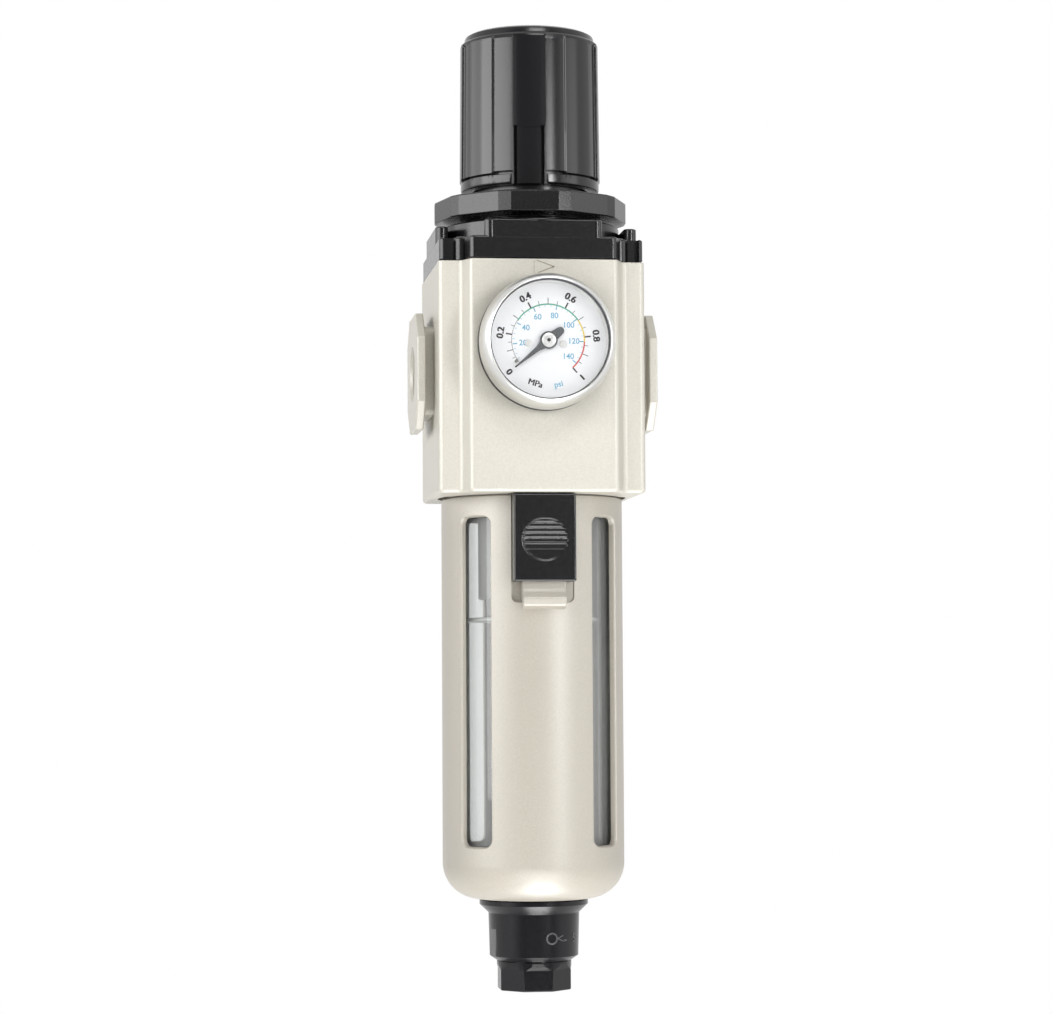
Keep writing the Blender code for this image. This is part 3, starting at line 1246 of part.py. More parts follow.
def settle():
    """Gives each part its finished mesh, shaded smooth with its sharp edges kept."""
    bpy.context.view_layer.update()
    graph = bpy.context.evaluated_depsgraph_get()
    finished = {}
    for obj in PARTS.objects:
        if obj.type == "MESH" and obj.modifiers:
            finished[obj] = bpy.data.meshes.new_from_object(obj.evaluated_get(graph))
    for obj, mesh in finished.items():
        obj.modifiers.clear()
        obj.data = mesh
        mesh.shade_smooth()
        mesh.set_sharp_from_angle(angle=SHARP_ANGLE)


make_body()
make_bonnet()
make_bonnet_screws()
make_panel_nut()
make_knob()
make_spindle()
make_spring_seat()
seat_low = make_diaphragm()
poppet_low = make_valve(seat_low)
make_valve_guide(poppet_low - TAIL_LENGTH)
coil("range_spring", RANGE_RADIUS, RANGE_WIRE, plate_top() + GAP, seat_top() - SPRING_SEAT_THICK - GAP, 4.5, STEEL)
make_filter()
make_bowl()
make_guard()
make_latch()
make_latch_spring()
make_drain()
make_bourdon_tube(make_gauge())
make_rear_plug()
settle()
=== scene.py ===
# %% [markdown]
# # A filter regulator for compressed air
#
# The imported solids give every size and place. This notebook dresses them: the knob, the casting, the guard and
# the other pieces that show get smooth, detailed surfaces, and each material is built from nodes. All lengths
# below are millimetres, and `skin` turns them into metres as it makes a mesh.

# %% Load the frame
import math

import bmesh
import bpy
import numpy as np
from mathutils import Matrix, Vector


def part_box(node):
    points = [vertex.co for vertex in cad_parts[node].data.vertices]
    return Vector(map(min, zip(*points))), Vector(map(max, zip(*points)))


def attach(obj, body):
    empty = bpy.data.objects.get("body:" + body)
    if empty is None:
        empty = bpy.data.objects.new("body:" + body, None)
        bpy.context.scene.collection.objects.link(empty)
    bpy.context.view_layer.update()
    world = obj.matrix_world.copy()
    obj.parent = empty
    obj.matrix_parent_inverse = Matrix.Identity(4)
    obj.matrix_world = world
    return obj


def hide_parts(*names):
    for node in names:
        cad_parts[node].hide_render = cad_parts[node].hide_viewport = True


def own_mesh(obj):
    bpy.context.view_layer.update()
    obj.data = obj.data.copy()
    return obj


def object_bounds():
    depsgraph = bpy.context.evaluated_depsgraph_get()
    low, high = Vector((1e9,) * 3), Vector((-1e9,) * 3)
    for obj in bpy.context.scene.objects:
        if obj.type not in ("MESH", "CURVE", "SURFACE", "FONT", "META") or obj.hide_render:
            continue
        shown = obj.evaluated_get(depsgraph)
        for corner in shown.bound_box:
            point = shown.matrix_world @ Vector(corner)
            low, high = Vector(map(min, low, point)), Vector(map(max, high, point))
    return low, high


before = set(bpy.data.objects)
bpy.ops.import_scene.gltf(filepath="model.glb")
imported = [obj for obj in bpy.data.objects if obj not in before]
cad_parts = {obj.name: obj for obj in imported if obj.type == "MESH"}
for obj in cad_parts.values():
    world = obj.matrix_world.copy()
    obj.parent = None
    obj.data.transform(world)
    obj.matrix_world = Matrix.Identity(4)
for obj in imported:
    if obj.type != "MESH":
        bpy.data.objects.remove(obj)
cad_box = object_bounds()
MM = 0.001


def span(node):
    """The lowest and highest corners of a solid, in millimetres."""
    low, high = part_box(node)
    return np.array(low) / MM, np.array(high) / MM


# %% [markdown]
# ## Ways of making a surface
#
# Nearly every piece here is either spun round an axis or has a flat outline with rounded edges. Both are grids:
# rows follow a profile, columns follow the way round. Working them out as whole numpy arrays keeps the sizes in
# plain sight, and it gives even strips of faces that catch the light without flaws.

# %% Outlines and profiles
def unit(vectors):
    return vectors / np.linalg.norm(vectors, axis=-1, keepdims=True)


def rounded(corners, closed=True, step=9.0):
    """The points of a polygon whose corners (x, y, radius) are rounded.

    An arc touches both sides of its corner, so its centre lies radius / sin(half the corner) along the line
    that halves the corner.
    """
    points = []
    count = len(corners)
    for i, (x, y, *radius) in enumerate(corners):
        here = np.array((x, y), float)
        if not radius or (not closed and i in (0, count - 1)):
            points.append(here[None])
            continue
        before = unit(np.array(corners[i - 1][:2]) - here)
        after = unit(np.array(corners[(i + 1) % count][:2]) - here)
        half = math.acos(np.clip(before @ after, -1, 1)) / 2
        centre = here + unit(before + after) * radius[0] / math.sin(half)
        sx, sy = here + before * radius[0] / math.tan(half) - centre
        turn = -math.copysign(math.pi - 2 * half, before[0] * after[1] - before[1] * after[0])
        a = np.linspace(0, turn, max(3, math.ceil(round(math.degrees(abs(turn)) / step, 6)) + 1))
        points.append(centre + np.column_stack((sx * np.cos(a) - sy * np.sin(a), sx * np.sin(a) + sy * np.cos(a))))
    return np.vstack(points)


def box_outline(half_x, half_y, radius):
    return rounded([(half_x, half_y, radius), (-half_x, half_y, radius),
                    (-half_x, -half_y, radius), (half_x, -half_y, radius)])


def polygon_corners(sides, across, radius, turn=0.0):
    """The corners (x, y, radius) of a regular polygon, by its width across the flats."""
    a = math.tau * (np.arange(sides) + 0.5) / sides + turn
    corner = across / 2 / math.cos(math.pi / sides)
    return [(corner * math.cos(t), corner * math.sin(t), radius) for t in a]


def polygon(sides, across, radius, turn=0.0):
    return rounded(polygon_corners(sides, across, radius, turn))


def sector(inner, outer, middle, half_angle, steps=12):
    """The outline of a piece of a ring."""
    a = np.linspace(middle - half_angle, middle + half_angle, steps)
    ray = np.column_stack((np.cos(a), np.sin(a)))
    return np.vstack((outer * ray, inner * ray[::-1]))


# %% Grids
def spun(profile, steps=96):
    """Spins a profile (radius, height) round Z: x = radius cos a, y = radius sin a."""
    a = np.linspace(0, math.tau, steps, endpoint=False)
    radius, height = profile[:, :1], profile[:, 1:]
    return np.stack((radius * np.cos(a), radius * np.sin(a), height + 0 * a), -1)


def carried(outline, profile):
    """Carries a profile round a flat outline: a row is the outline moved in by profile[0], at height profile[1].

    A corner moves along the mean of its two sides' normals, and by more the sharper it is.
    """
    along = unit(np.roll(outline, -1, 0) - outline)
    normal = np.column_stack((along[:, 1], -along[:, 0]))
    mean = unit(normal + np.roll(normal, 1, 0))
    miter = mean / np.sum(mean * normal, 1, keepdims=True)
    flat = outline[None] - profile[:, :1, None] * miter[None]
    height = np.broadcast_to(profile[:, 1:, None], (*flat.shape[:2], 1))
    return np.concatenate((flat, height), -1)


def stacked(corners, profile, step=9.0):
    """Like carried, for a polygon of (x, y, radius) whose small corner rounds keep their radius in every row."""
    rows = carried(np.array([corner[:2] for corner in corners]), profile)
    outlines = [rounded([(x, y, corner[2]) for (x, y, _), corner in zip(row, corners)], step=step) for row in rows]
    return np.stack([np.column_stack((o, np.full(len(o), z))) for o, z in zip(outlines, profile[:, 1])])


def bore_rows(outline, profile):
    """Rows for a round hole in the middle of an outline: each of its points is drawn in to profile[0]."""
    ray = unit(outline)
    flat = profile[:, :1, None] * ray[None]
    height = np.broadcast_to(profile[:, 1:, None], (*flat.shape[:2], 1))
    return np.concatenate((flat, height), -1)


AXES = {
    "up": np.eye(3),
    "front": np.array([[1, 0, 0], [0, 0, 1], [0, -1, 0]]),
    "rear": np.array([[-1, 0, 0], [0, 0, 1], [0, 1, 0]]),
    "right": np.array([[0, 1, 0], [0, 0, 1], [1, 0, 0]]),
    "left": np.array([[0, -1, 0], [0, 0, 1], [-1, 0, 0]]),
}


def facing(grid, way, place=(0, 0, 0)):
    """Turns a grid so that its own Z points a named way, and moves it to a place."""
    return grid @ AXES[way] + np.array(place, float)


# %% Grid to mesh
def tidy(mesh):
    """Merges double points, so poles close, and turns every face outwards."""
    bm = bmesh.new()
    bm.from_mesh(mesh)
    bmesh.ops.remove_doubles(bm, verts=bm.verts, dist=2e-7)
    bmesh.ops.dissolve_degenerate(bm, edges=bm.edges, dist=1e-7)
    bmesh.ops.recalc_face_normals(bm, faces=bm.faces)
    bm.to_mesh(mesh)
    bm.free()


def skin(name, grid, ends="flat"):
    """Closes a grid of points (rows, columns, xyz) into one solid.

    Columns wrap round. The first and last rows get flat lids, or with ends="ring" they meet, as on a torus.
    """
    rows, columns = grid.shape[:2]
    index = np.arange(rows * columns).reshape(rows, columns)
    low, high = (index, np.roll(index, -1, 0)) if ends == "ring" else (index[:-1], index[1:])
    quads = np.stack((low, np.roll(low, -1, 1), np.roll(high, -1, 1), high), -1).reshape(-1, 4).tolist()
    for row in (0, -1):
        if ends == "flat" and np.ptp(grid[row], axis=0).max() > 1e-6:
            quads.append(index[row].tolist())
    mesh = bpy.data.meshes.new(name)
    mesh.from_pydata((grid.reshape(-1, 3) * MM).tolist(), [], quads)
    tidy(mesh)
    obj = bpy.data.objects.new(name, mesh)
    bpy.context.scene.collection.objects.link(obj)
    return obj


def taken(obj):
    """The finished mesh of an object, and the object is gone."""
    bpy.context.view_layer.update()
    mesh = bpy.data.meshes.new_from_object(obj.evaluated_get(bpy.context.evaluated_depsgraph_get()))
    bpy.data.objects.remove(obj)
    return mesh


def worked(obj, tools):
    """Cuts or joins tools, given as (object, operation), and keeps the result as the piece's own mesh."""
    for tool, operation in tools:
        boolean = obj.modifiers.new(tool.name, "BOOLEAN")
        boolean.object = tool
        boolean.operation = operation
    name = obj.name
    mesh = taken(obj)
    for tool, _ in tools:
        bpy.data.objects.remove(tool)
    tidy(mesh)
    piece = bpy.data.objects.new(name, mesh)
    bpy.context.scene.collection.objects.link(piece)
    return piece


def merged(name, objects):
    """Several closed shapes as one object."""
    bm = bmesh.new()
    for obj in objects:
        bm.from_mesh(obj.data)
        bpy.data.objects.remove(obj)
    mesh = bpy.data.meshes.new(name)
    bm.to_mesh(mesh)
    bm.free()
    obj = bpy.data.objects.new(name, mesh)
    bpy.context.scene.collection.objects.link(obj)
    return obj


def dress(obj, material, body, *nodes, sharp=28):
    """Gives a piece its material, smooth shading and body, and hides the imported solids it stands for."""
    obj.data.materials.clear()
    obj.data.materials.append(material)
    obj.data.shade_smooth()
    obj.data.set_sharp_from_angle(angle=math.radians(sharp))
    weighted = obj.modifiers.new("even shading", "WEIGHTED_NORMAL")
    weighted.keep_sharp = True
    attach(obj, body)
    if nodes:
        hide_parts(*nodes)
    print(obj.name, len(obj.data.polygons), "faces")
    return obj


# %% [markdown]
# ## Materials
#
# Each finish is named for what the real one is and how it was made. The pattern scales come from real
# millimetres: a noise with features of s mm has a scale of 1000 / s, as Object coordinates are in metres.

# %% Node helpers
def linear(hex_colour, alpha=1.0):
    """An sRGB hex colour as linear light."""
    channels = [int(hex_colour[i : i + 2], 16) / 255 for i in (1, 3, 5)]
    return [c / 12.92 if c <= 0.04045 else ((c + 0.055) / 1.055) ** 2.4 for c in channels] + [alpha]


def node(tree, kind, inputs=None, **settings):
    """Adds a node: settings are its own, and inputs are values for its sockets or links into them."""
    made = tree.nodes.new(kind)
    for key, value in settings.items():
        setattr(made, key, value)
    for key, value in (inputs or {}).items():
        if isinstance(value, bpy.types.NodeSocket):
            tree.links.new(value, made.inputs[key])
        else:
            made.inputs[key].default_value = value
    return made


def material(name, colour, **sockets):
    """A new Principled material, and what its pattern nodes start from."""
    made = bpy.data.materials.new(name)
    made.use_nodes = True
    tree = made.node_tree
    shader = tree.nodes["Principled BSDF"]
    shader.inputs["Base Color"].default_value = linear(colour)
    for key, value in sockets.items():
        shader.inputs[key.replace("_", " ")].default_value = value
    place = node(tree, "ShaderNodeTexCoord").outputs["Object"]
    return made, tree, shader, place


def textured(tree, shader, place, size, depth, rough, colours=None, detail=2.0):
    """A fine surface: noise of a size in mm bumps it by a depth in mm and varies its gloss and colour."""
    grain = node(tree, "ShaderNodeTexNoise", {"Vector": place, "Scale": 1000 / size, "Detail": detail})
    gloss = node(tree, "ShaderNodeMapRange",
                 {"Value": grain.outputs["Fac"], "From Min": 0.3, "From Max": 0.7, "To Min": rough[0], "To Max": rough[1]})
    tree.links.new(gloss.outputs["Result"], shader.inputs["Roughness"])
    bump = node(tree, "ShaderNodeBump", {"Height": grain.outputs["Fac"], "Distance": depth * MM, "Strength": 1.0})
    tree.links.new(bump.outputs["Normal"], shader.inputs["Normal"])
    if colours:
        tint = node(tree, "ShaderNodeMix", {"Factor": grain.outputs["Fac"], "A": linear(colours[0]),
                                            "B": linear(colours[1])}, data_type="RGBA")
        tree.links.new(tint.outputs["Result"], shader.inputs["Base Color"])
    return grain, bump


# %% [markdown]
# The casting and the guard wear the same kind of paint: a champagne base with very fine metal flakes under a satin
# clear coat. Flakes of a few hundredths of a millimetre are too fine to show, so they are drawn at 0.35 mm, as
# a faint mottle in the colour and the gloss. The guard's copy is a shade warmer. It is also darker, as painted shade
# for the dimmer light that reaches it lower down.

# %% Painted castings
def champagne_paint(name, colours):
    made, tree, shader, place = material(name, colours[0], IOR=1.6, Specular_IOR_Level=1.0)
    textured(tree, shader, place, 0.35, 0.003, (0.37, 0.44), colours)
    return made


PAINT = champagne_paint("champagne_metallic_paint", ("#B0ACA0", "#CAC6BB"))
# the guard's copy: a shade warmer, and darker as painted shade for the dimmer light low on the part
GUARD_PAINT_WARM_AND_SHADED = champagne_paint("champagne_paint_guard_warmer_with_painted_shade", ("#9B9589", "#B2ACA1"))

# %% [markdown]
# The black parts are moulded from a glass-filled plastic. Polished steel leaves the lands of the knob glossy,
# while the recess floors keep the mould's spark-eroded grain, which sparkles where the light grazes it. Both are
# one material: the distance from the knob's axis picks the finish.

# %% Black mouldings
KNOB_RADIUS = span("knob")[1][0]
RECESS = 0.70


def moulded_black(name, colour="#101012", rough=(0.20, 0.27), size=0.5, depth=0.001, **sockets):
    made, tree, shader, place = material(name, colour, **sockets)
    textured(tree, shader, place, size, depth, rough)
    return made


def knob_black():
    made, tree, shader, place = material("moulded_black_knob", "#0E0E11", IOR=1.5)
    flat = node(tree, "ShaderNodeVectorMath", {0: place, 1: (1, 1, 0)}, operation="MULTIPLY")
    reach = node(tree, "ShaderNodeVectorMath", {0: flat.outputs["Vector"]}, operation="LENGTH")
    floor = (KNOB_RADIUS - RECESS * 0.6) * MM
    eroded = node(tree, "ShaderNodeMath", {0: reach.outputs["Value"], 1: floor}, operation="LESS_THAN")
    grain = node(tree, "ShaderNodeTexNoise", {"Vector": place, "Scale": 1000 / 0.35, "Detail": 3.0})
    gloss = node(tree, "ShaderNodeMapRange", {"Value": eroded.outputs[0], "To Min": 0.20, "To Max": 0.21})
    tree.links.new(gloss.outputs["Result"], shader.inputs["Roughness"])
    strength = node(tree, "ShaderNodeMapRange", {"Value": eroded.outputs[0], "To Min": 0.04, "To Max": 1.0})
    bump = node(tree, "ShaderNodeBump", {"Height": grain.outputs["Fac"], "Strength": strength.outputs["Result"],
                                         "Distance": 0.02 * MM})
    tree.links.new(bump.outputs["Normal"], shader.inputs["Normal"])
    return made


BLACK = moulded_black("moulded_black_plastic")
DRAIN_BLACK = moulded_black("moulded_black_acetal", "#0C0C10", IOR=1.42)
NUT_BLACK = moulded_black("moulded_black_nut", rough=(0.24, 0.28), depth=0.0005)
KNOB_BLACK = knob_black()

# %% [markdown]
# The bowl is injection-moulded polycarbonate, clear, with an index of 1.585. The window of the gauge is thin
# acrylic. Both are real glass shaders, so what stands behind them shifts as it does on the real bowl.

# %% Clear parts
def clear(name, ior, colour="#F7F9F8", rough=0.02, through=1.0):
    made, tree, shader, place = material(name, colour, IOR=ior, Roughness=rough)
    shader.inputs["Transmission Weight"].default_value = through
    haze = node(tree, "ShaderNodeTexNoise", {"Vector": place, "Scale": 1000 / 6.0, "Detail": 1.0})
    flow = node(tree, "ShaderNodeBump", {"Height": haze.outputs["Fac"], "Distance": 0.01 * MM, "Strength": 0.3})
    tree.links.new(flow.outputs["Normal"], shader.inputs["Normal"])
    return made


POLYCARBONATE = clear("moulded_clear_polycarbonate", 1.585, through=0.9)
ACRYLIC = clear("clear_acrylic_window", 1.49, "#FFFFFF", 0.01)

# %% [markdown]
# Metals keep the default index, and their look comes from colour, roughness and direction. Turned brass shows
# rings, so its noise is squeezed along the axis. Plated steel is smoother, and the bezel is satin chrome.

# %% Metals
def metal(name, colour, rough, size=0.4, depth=0.002, squeeze=(1, 1, 1)):
    made, tree, shader, place = material(name, colour, Metallic=1.0)
    stretched = node(tree, "ShaderNodeMapping", {"Vector": place, "Scale": squeeze})
    textured(tree, shader, stretched.outputs["Vector"], size, depth, rough)
    return made


BRASS = metal("turned_brass", "#C9A862", (0.24, 0.38), 0.5, 0.003, (0.2, 0.2, 3))
ZINC = metal("zinc_plated_steel", "#8E8D87", (0.32, 0.44))
SPRING_STEEL = metal("drawn_spring_steel", "#A9ABAE", (0.28, 0.40))

CASE_METAL = metal("satin_plated_case", "#DDDDDB", (0.28, 0.38))
SATIN_CHROME = metal("satin_chrome_plate", "#DADAD8", (0.28, 0.34), 1.0, 0.0002)

# %% [markdown]
# The rest: matt nitrile rubber, white acetal for the baffle, pale polypropylene for the louvred deflector, and
# the filter sleeve of sintered plastic beads about 0.4 mm across, which Voronoi cells draw one by one, each bead
# darker towards its edge as painted shade in the pores between the beads.

# %% Rubber, plastics and the filter medium
def plain(name, colours, rough, size=0.4, depth=0.004, **sockets):
    made, tree, shader, place = material(name, colours[0], **sockets)
    textured(tree, shader, place, size, depth, rough, colours)
    return made


def sintered_beads():
    made, tree, shader, place = material("sintered_white_beads", "#EFEDE6", Roughness=0.85)
    cells = node(tree, "ShaderNodeTexVoronoi", {"Vector": place, "Scale": 1000 / 0.4})
    height = node(tree, "ShaderNodeMapRange", {"Value": cells.outputs["Distance"], "To Min": 1.0, "To Max": 0.0})
    bump = node(tree, "ShaderNodeBump", {"Height": height.outputs["Result"], "Distance": 0.12 * MM, "Strength": 0.8})
    tree.links.new(bump.outputs["Normal"], shader.inputs["Normal"])
    # darker towards each bead's edge: painted shade in the pores between the beads
    tint = node(tree, "ShaderNodeMix", {"Factor": height.outputs["Result"], "A": linear("#CFCCC2"),
                                        "B": linear("#F4F2EC")}, data_type="RGBA")
    tree.links.new(tint.outputs["Result"], shader.inputs["Base Color"])
    return made


NITRILE = plain("moulded_nitrile_rubber", ("#19191A", "#222223"), (0.62, 0.78))
ACETAL = plain("moulded_white_acetal", ("#EDEDE9", "#F5F5F2"), (0.32, 0.42))
POLYPROPYLENE = plain("moulded_pale_polypropylene", ("#C9CAC6", "#D8D8D3"), (0.38, 0.50))
SINTER = sintered_beads()
SCREW_STEEL = metal("darkened_steel_screws", "#63625F", (0.32, 0.44))
# paler grey for the collar's raised marks: a painted highlight on their edges
COLLAR_MARK_HIGHLIGHT = plain("collar_marks_painted_highlight", ("#3C3C40", "#4A4A4E"), (0.3, 0.4))
# dark grey for the ring at the window's edge: painted shadow, the line that the bezel's lip shades there
WINDOW_EDGE_SHADOW = plain("window_edge_painted_shadow", ("#3A3A3E", "#45454A"), (0.4, 0.5))
ENAMEL = plain("white_dial_enamel", ("#F2F3F5", "#F6F7F9"), (0.34, 0.40), 1.0, 0.001)
NEEDLE_PAINT = plain("grey_needle_paint", ("#46494C", "#505356"), (0.34, 0.44))
INKS = {
    "black": plain("black_dial_ink", ("#17181A", "#1E1F22"), (0.5, 0.6)),
    "blue": plain("blue_dial_ink", ("#5FA9C9", "#67B0CE"), (0.5, 0.6)),
    "green": plain("green_dial_ink", ("#4FA98C", "#58B095"), (0.5, 0.6)),
    "yellow": plain("yellow_dial_ink", ("#E3C94A", "#E8D058"), (0.5, 0.6)),
    "red": plain("red_dial_ink", ("#C8433C", "#D04A43"), (0.5, 0.6)),
}
GREY_INK = plain("grey_brown_print", ("#8F8672", "#978E7A"), (0.5, 0.6))

# %% [markdown]
# ## The casting
#
# The body is one zinc-alloy die casting. Seen from above it has square shoulders and a panel that stands out at
# the front and at the rear, with sloped sides and soft fillets that draw the long bright lines beside the
# gauge. Its outline is a polygon with rounded corners, and one profile carried round it gives the wall, the
# rounded foot and the small edge break under the bonnet.

# %% Body outline
BODY_LOW, BODY_HIGH = span("body")
BODY_BOTTOM, BODY_TOP = BODY_LOW[2], BODY_HIGH[2]
PORT_REACH = BODY_HIGH[0]
PANEL_FACE = BODY_HIGH[1]
SIDE, SHOULDER = 25.5, 23.0
PANEL_HALF, PANEL_FLARE = 18.0, 2.0
GAP = 0.3


def body_outline(inset=0.0):
    """The casting from above, inset all round for the bonnet that stands on it."""
    quarter = [
        (SIDE - inset, SHOULDER - inset, 1.3),
        (PANEL_HALF + PANEL_FLARE - inset, SHOULDER - inset, 1.5),
        (PANEL_HALF - inset, PANEL_FACE - inset, 1.3),
    ]
    left = [(-x, y, r) for x, y, r in reversed(quarter)]
    rear = [(-x, -y, r) for x, y, r in quarter]
    right = [(x, -y, r) for x, y, r in reversed(quarter)]
    return rounded(quarter + left + rear + right)


def edge_round(low, high, foot, lip, inset=0.0):
    """A wall's profile (inset, height) from its foot to its lip, both edges rounded by quarter circles."""
    a = np.radians(np.linspace(0, 90, 7))
    bottom = np.column_stack((foot * (1 - np.sin(a)), low + foot * (1 - np.cos(a))))
    top = np.column_stack((lip * (1 - np.cos(a)), high - lip * (1 - np.sin(a))))
    return np.vstack((bottom, top)) + (inset, 0)


# %% [markdown]
# The cavities are cut as on the machined casting: the stepped socket for the bowl with its four entries, the
# diaphragm chamber with its seat, the two air passages, and pockets for the ports, the gauge and the plug.
# Boolean cuts suit this, because the cutters are plain spun or boxed shapes.

# %% Cut the body
def spun_tool(name, corners, way="up", place=(0, 0, 0), steps=72):
    return skin(name, facing(spun(rounded(corners, closed=False), steps), way, place))


def box_tool(name, low, high):
    middle, half = (np.array(low) + high) / 2, (np.array(high) - low) / 2
    corners = half[:2] * np.array([(1, 1), (-1, 1), (-1, -1), (1, -1)])
    grid = carried(corners, np.array([(0, -half[2]), (0, half[2])]))
    return skin(name, grid + middle)


SPIGOT_BOTTOM = span("valve_guide")[1][2] - 19.0
SOCKET_CEILING = span("bowl")[1][2] + GAP
GUARD_LOW, GUARD_HIGH = span("bowl_guard")
LUG_REACH, NECK_RADIUS, GUARD_RADIUS = 23.3, 21.6, 22.7
GAUGE_Z = (span("gauge_bezel")[0][2] + span("gauge_bezel")[1][2]) / 2
PORT_RADIUS, PORT_DEPTH = 6.05, 18.0


def body_casting():
    shell = skin("body_casting", carried(body_outline(), edge_round(BODY_BOTTOM, BODY_TOP, 1.0, 0.25)))
    tools = [
        spun_tool("socket", [
            (0, SPIGOT_BOTTOM), (12.2, SPIGOT_BOTTOM), (12.2, SOCKET_CEILING), (21.7, SOCKET_CEILING),
            (21.7, GUARD_HIGH[2] + GAP), (LUG_REACH + GAP, GUARD_HIGH[2] + GAP), (LUG_REACH + GAP, -28.6),
            (NECK_RADIUS + GAP, -28.6), (NECK_RADIUS + GAP, BODY_BOTTOM - 1), (0, BODY_BOTTOM - 1)]),
        spun_tool("chambers", [
            (0, BODY_TOP + 1), (20.6, BODY_TOP + 1), (20.6, BODY_TOP - 1.2), (18, BODY_TOP - 1.2), (18, 14),
            (4.2, 14), (4.2, 5), (9.5, 5), (9.5, SPIGOT_BOTTOM - 1), (0, SPIGOT_BOTTOM - 1)]),
        box_tool("outlet_passage", (12, -4, 0), (16.2, 4, 15)),
        box_tool("inlet_passage", (-16.2, -4, -16), (-12, 4, 0)),
        spun_tool("inlet_pocket", [(0, 11.8), (7.0, 11.8), (7.0, 27), (0, 27)], "left"),
        spun_tool("outlet_pocket", [(0, 11.8), (7.0, 11.8), (7.0, 27), (0, 27)], "right"),
        spun_tool("gauge_pocket", [(0, 16.5), (5.2, 16.5), (5.2, 29), (0, 29)], "front", (0, 0, GAUGE_Z)),
        spun_tool("plug_pocket", [(0, 16.5), (5.2, 16.5), (5.2, PANEL_FACE - 0.5), (5.8, PANEL_FACE + 0.1),
                                  (5.8, 29), (0, 29)], "rear", (0, 0, GAUGE_Z)),
    ]
    for k in range(4):
        entry = sector(NECK_RADIUS - 1, LUG_REACH + GAP, math.pi / 2 * k, math.radians(20))
        tools.append(skin(f"entry_{k}", carried(entry, np.array([(0, BODY_BOTTOM - 1), (0, -28.2)]))))
    for x in (-19, 19):
        for y in (-19, 19):
            tools.append(spun_tool("screw_hole", [(0, 15.5), (2.2, 15.5), (2.2, 27), (0, 27)], "up", (x, y, 0), 24))
    return worked(shell, [(tool, "DIFFERENCE") for tool in tools])


dress(body_casting(), PAINT, "housing", "body")

# %% [markdown]
# Each port is a cup that sits in a pocket of the casting. Its profile runs from the bottom of the threaded bore
# out over the octagonal clamp flange and back along the neck. The pipe thread is a helix: the bore's radius
# drops by a small triangle wave of the depth along the axis minus the turn, one pitch of 1.34 mm per turn.

# %% Port flanges
THREAD_PITCH, THREAD_DEPTH = 1.34, 0.55


def octagon_outline(half, cut, radius):
    near = half - cut
    return rounded([(half, near, radius), (near, half, radius), (-near, half, radius), (-half, near, radius),
                    (-half, -near, radius), (-near, -half, radius), (near, -half, radius), (half, -near, radius)])


def refined(outline, longest):
    """The same outline with its long sides divided, so that no step is longer than a given length."""
    ends = np.roll(outline, -1, 0)
    parts = np.maximum(1, np.ceil(np.linalg.norm(ends - outline, axis=1) / longest).astype(int))
    side = np.repeat(np.arange(len(outline)), parts)
    share = (np.arange(len(side)) - np.repeat(np.cumsum(parts) - parts, parts)) / parts[side]
    return outline[side] + (ends - outline)[side] * share[:, None]


def along_rays(outline, rays):
    """The points of an outline in the directions of other points, seen from the middle."""
    fine = refined(outline, 0.05)
    angle = np.arctan2(fine[:, 1], fine[:, 0])
    reach = np.interp(np.arctan2(rays[:, 1], rays[:, 0]), *np.stack((angle, np.hypot(*fine.T)))[:, np.argsort(angle)],
                      period=math.tau)
    return unit(rays) * reach[:, None]


def port_flange(name, way):
    plate = refined(octagon_outline(14.5, 6.5, 0.5), 0.4)
    neck = along_rays(box_outline(10.0, 11.0, 1.3), plate)
    turn = np.arctan2(plate[:, 1], plate[:, 0]) / math.tau
    depth = np.arange(PORT_REACH - PORT_DEPTH + 1.0, PORT_REACH - 0.9, THREAD_PITCH / 8)
    wave = np.abs(((depth[:, None] / THREAD_PITCH - turn[None]) % 1) * 2 - 1)
    fade = np.clip((PORT_REACH - 0.9 - depth) / 1.5, 0, 1)[:, None]
    bore = (PORT_RADIUS + 0.35 - THREAD_DEPTH * wave * fade)[..., None] * unit(plate)[None]
    thread = np.concatenate((bore, np.broadcast_to(depth[:, None, None], (*bore.shape[:2], 1))), -1)
    back = PORT_REACH - 2.1
    rows = [
        bore_rows(plate, np.array([(0, PORT_REACH - PORT_DEPTH), (PORT_RADIUS, PORT_REACH - PORT_DEPTH)])),
        thread,
        bore_rows(plate, np.array([(PORT_RADIUS + 0.35, PORT_REACH - 0.7), (PORT_RADIUS + 0.95, PORT_REACH)])),
        carried(plate, edge_round(back, PORT_REACH, 0.4, 0.4)[::-1]),
        carried(neck, np.array([(-0.5, back), (-0.12, back - 0.12), (0, back - 0.5), (0, SIDE - 0.2)])),
        bore_rows(plate, np.array([(7.2, SIDE - 0.2), (7.2, PORT_REACH - PORT_DEPTH - 0.5),
                                   (0, PORT_REACH - PORT_DEPTH - 0.5)])),
    ]
    return skin(name, facing(np.concatenate(rows), way))


dress(port_flange("inlet_flange", "left"), PAINT, "housing", sharp=24)
dress(port_flange("outlet_flange", "right"), PAINT, "housing", sharp=24)

# %% [markdown]
# ## The bonnet
#
# A black moulding screwed down on the casting. Its deck follows the casting's outline. Above it stand four
# walls with rounded ends, a low dome, the thread for the panel nut, and inside the knob the tower that guides
# the spring. The deck and the tower are rings round the spring room, so the moving parts have their room.

# %% Bonnet deck, walls and tower
DECK = 31.5
BONNET_LOW = BODY_TOP + GAP
WALL_TOP = 35.6
SPRING_ROOM, SKIRT_ROOM = 13.0, 17.6


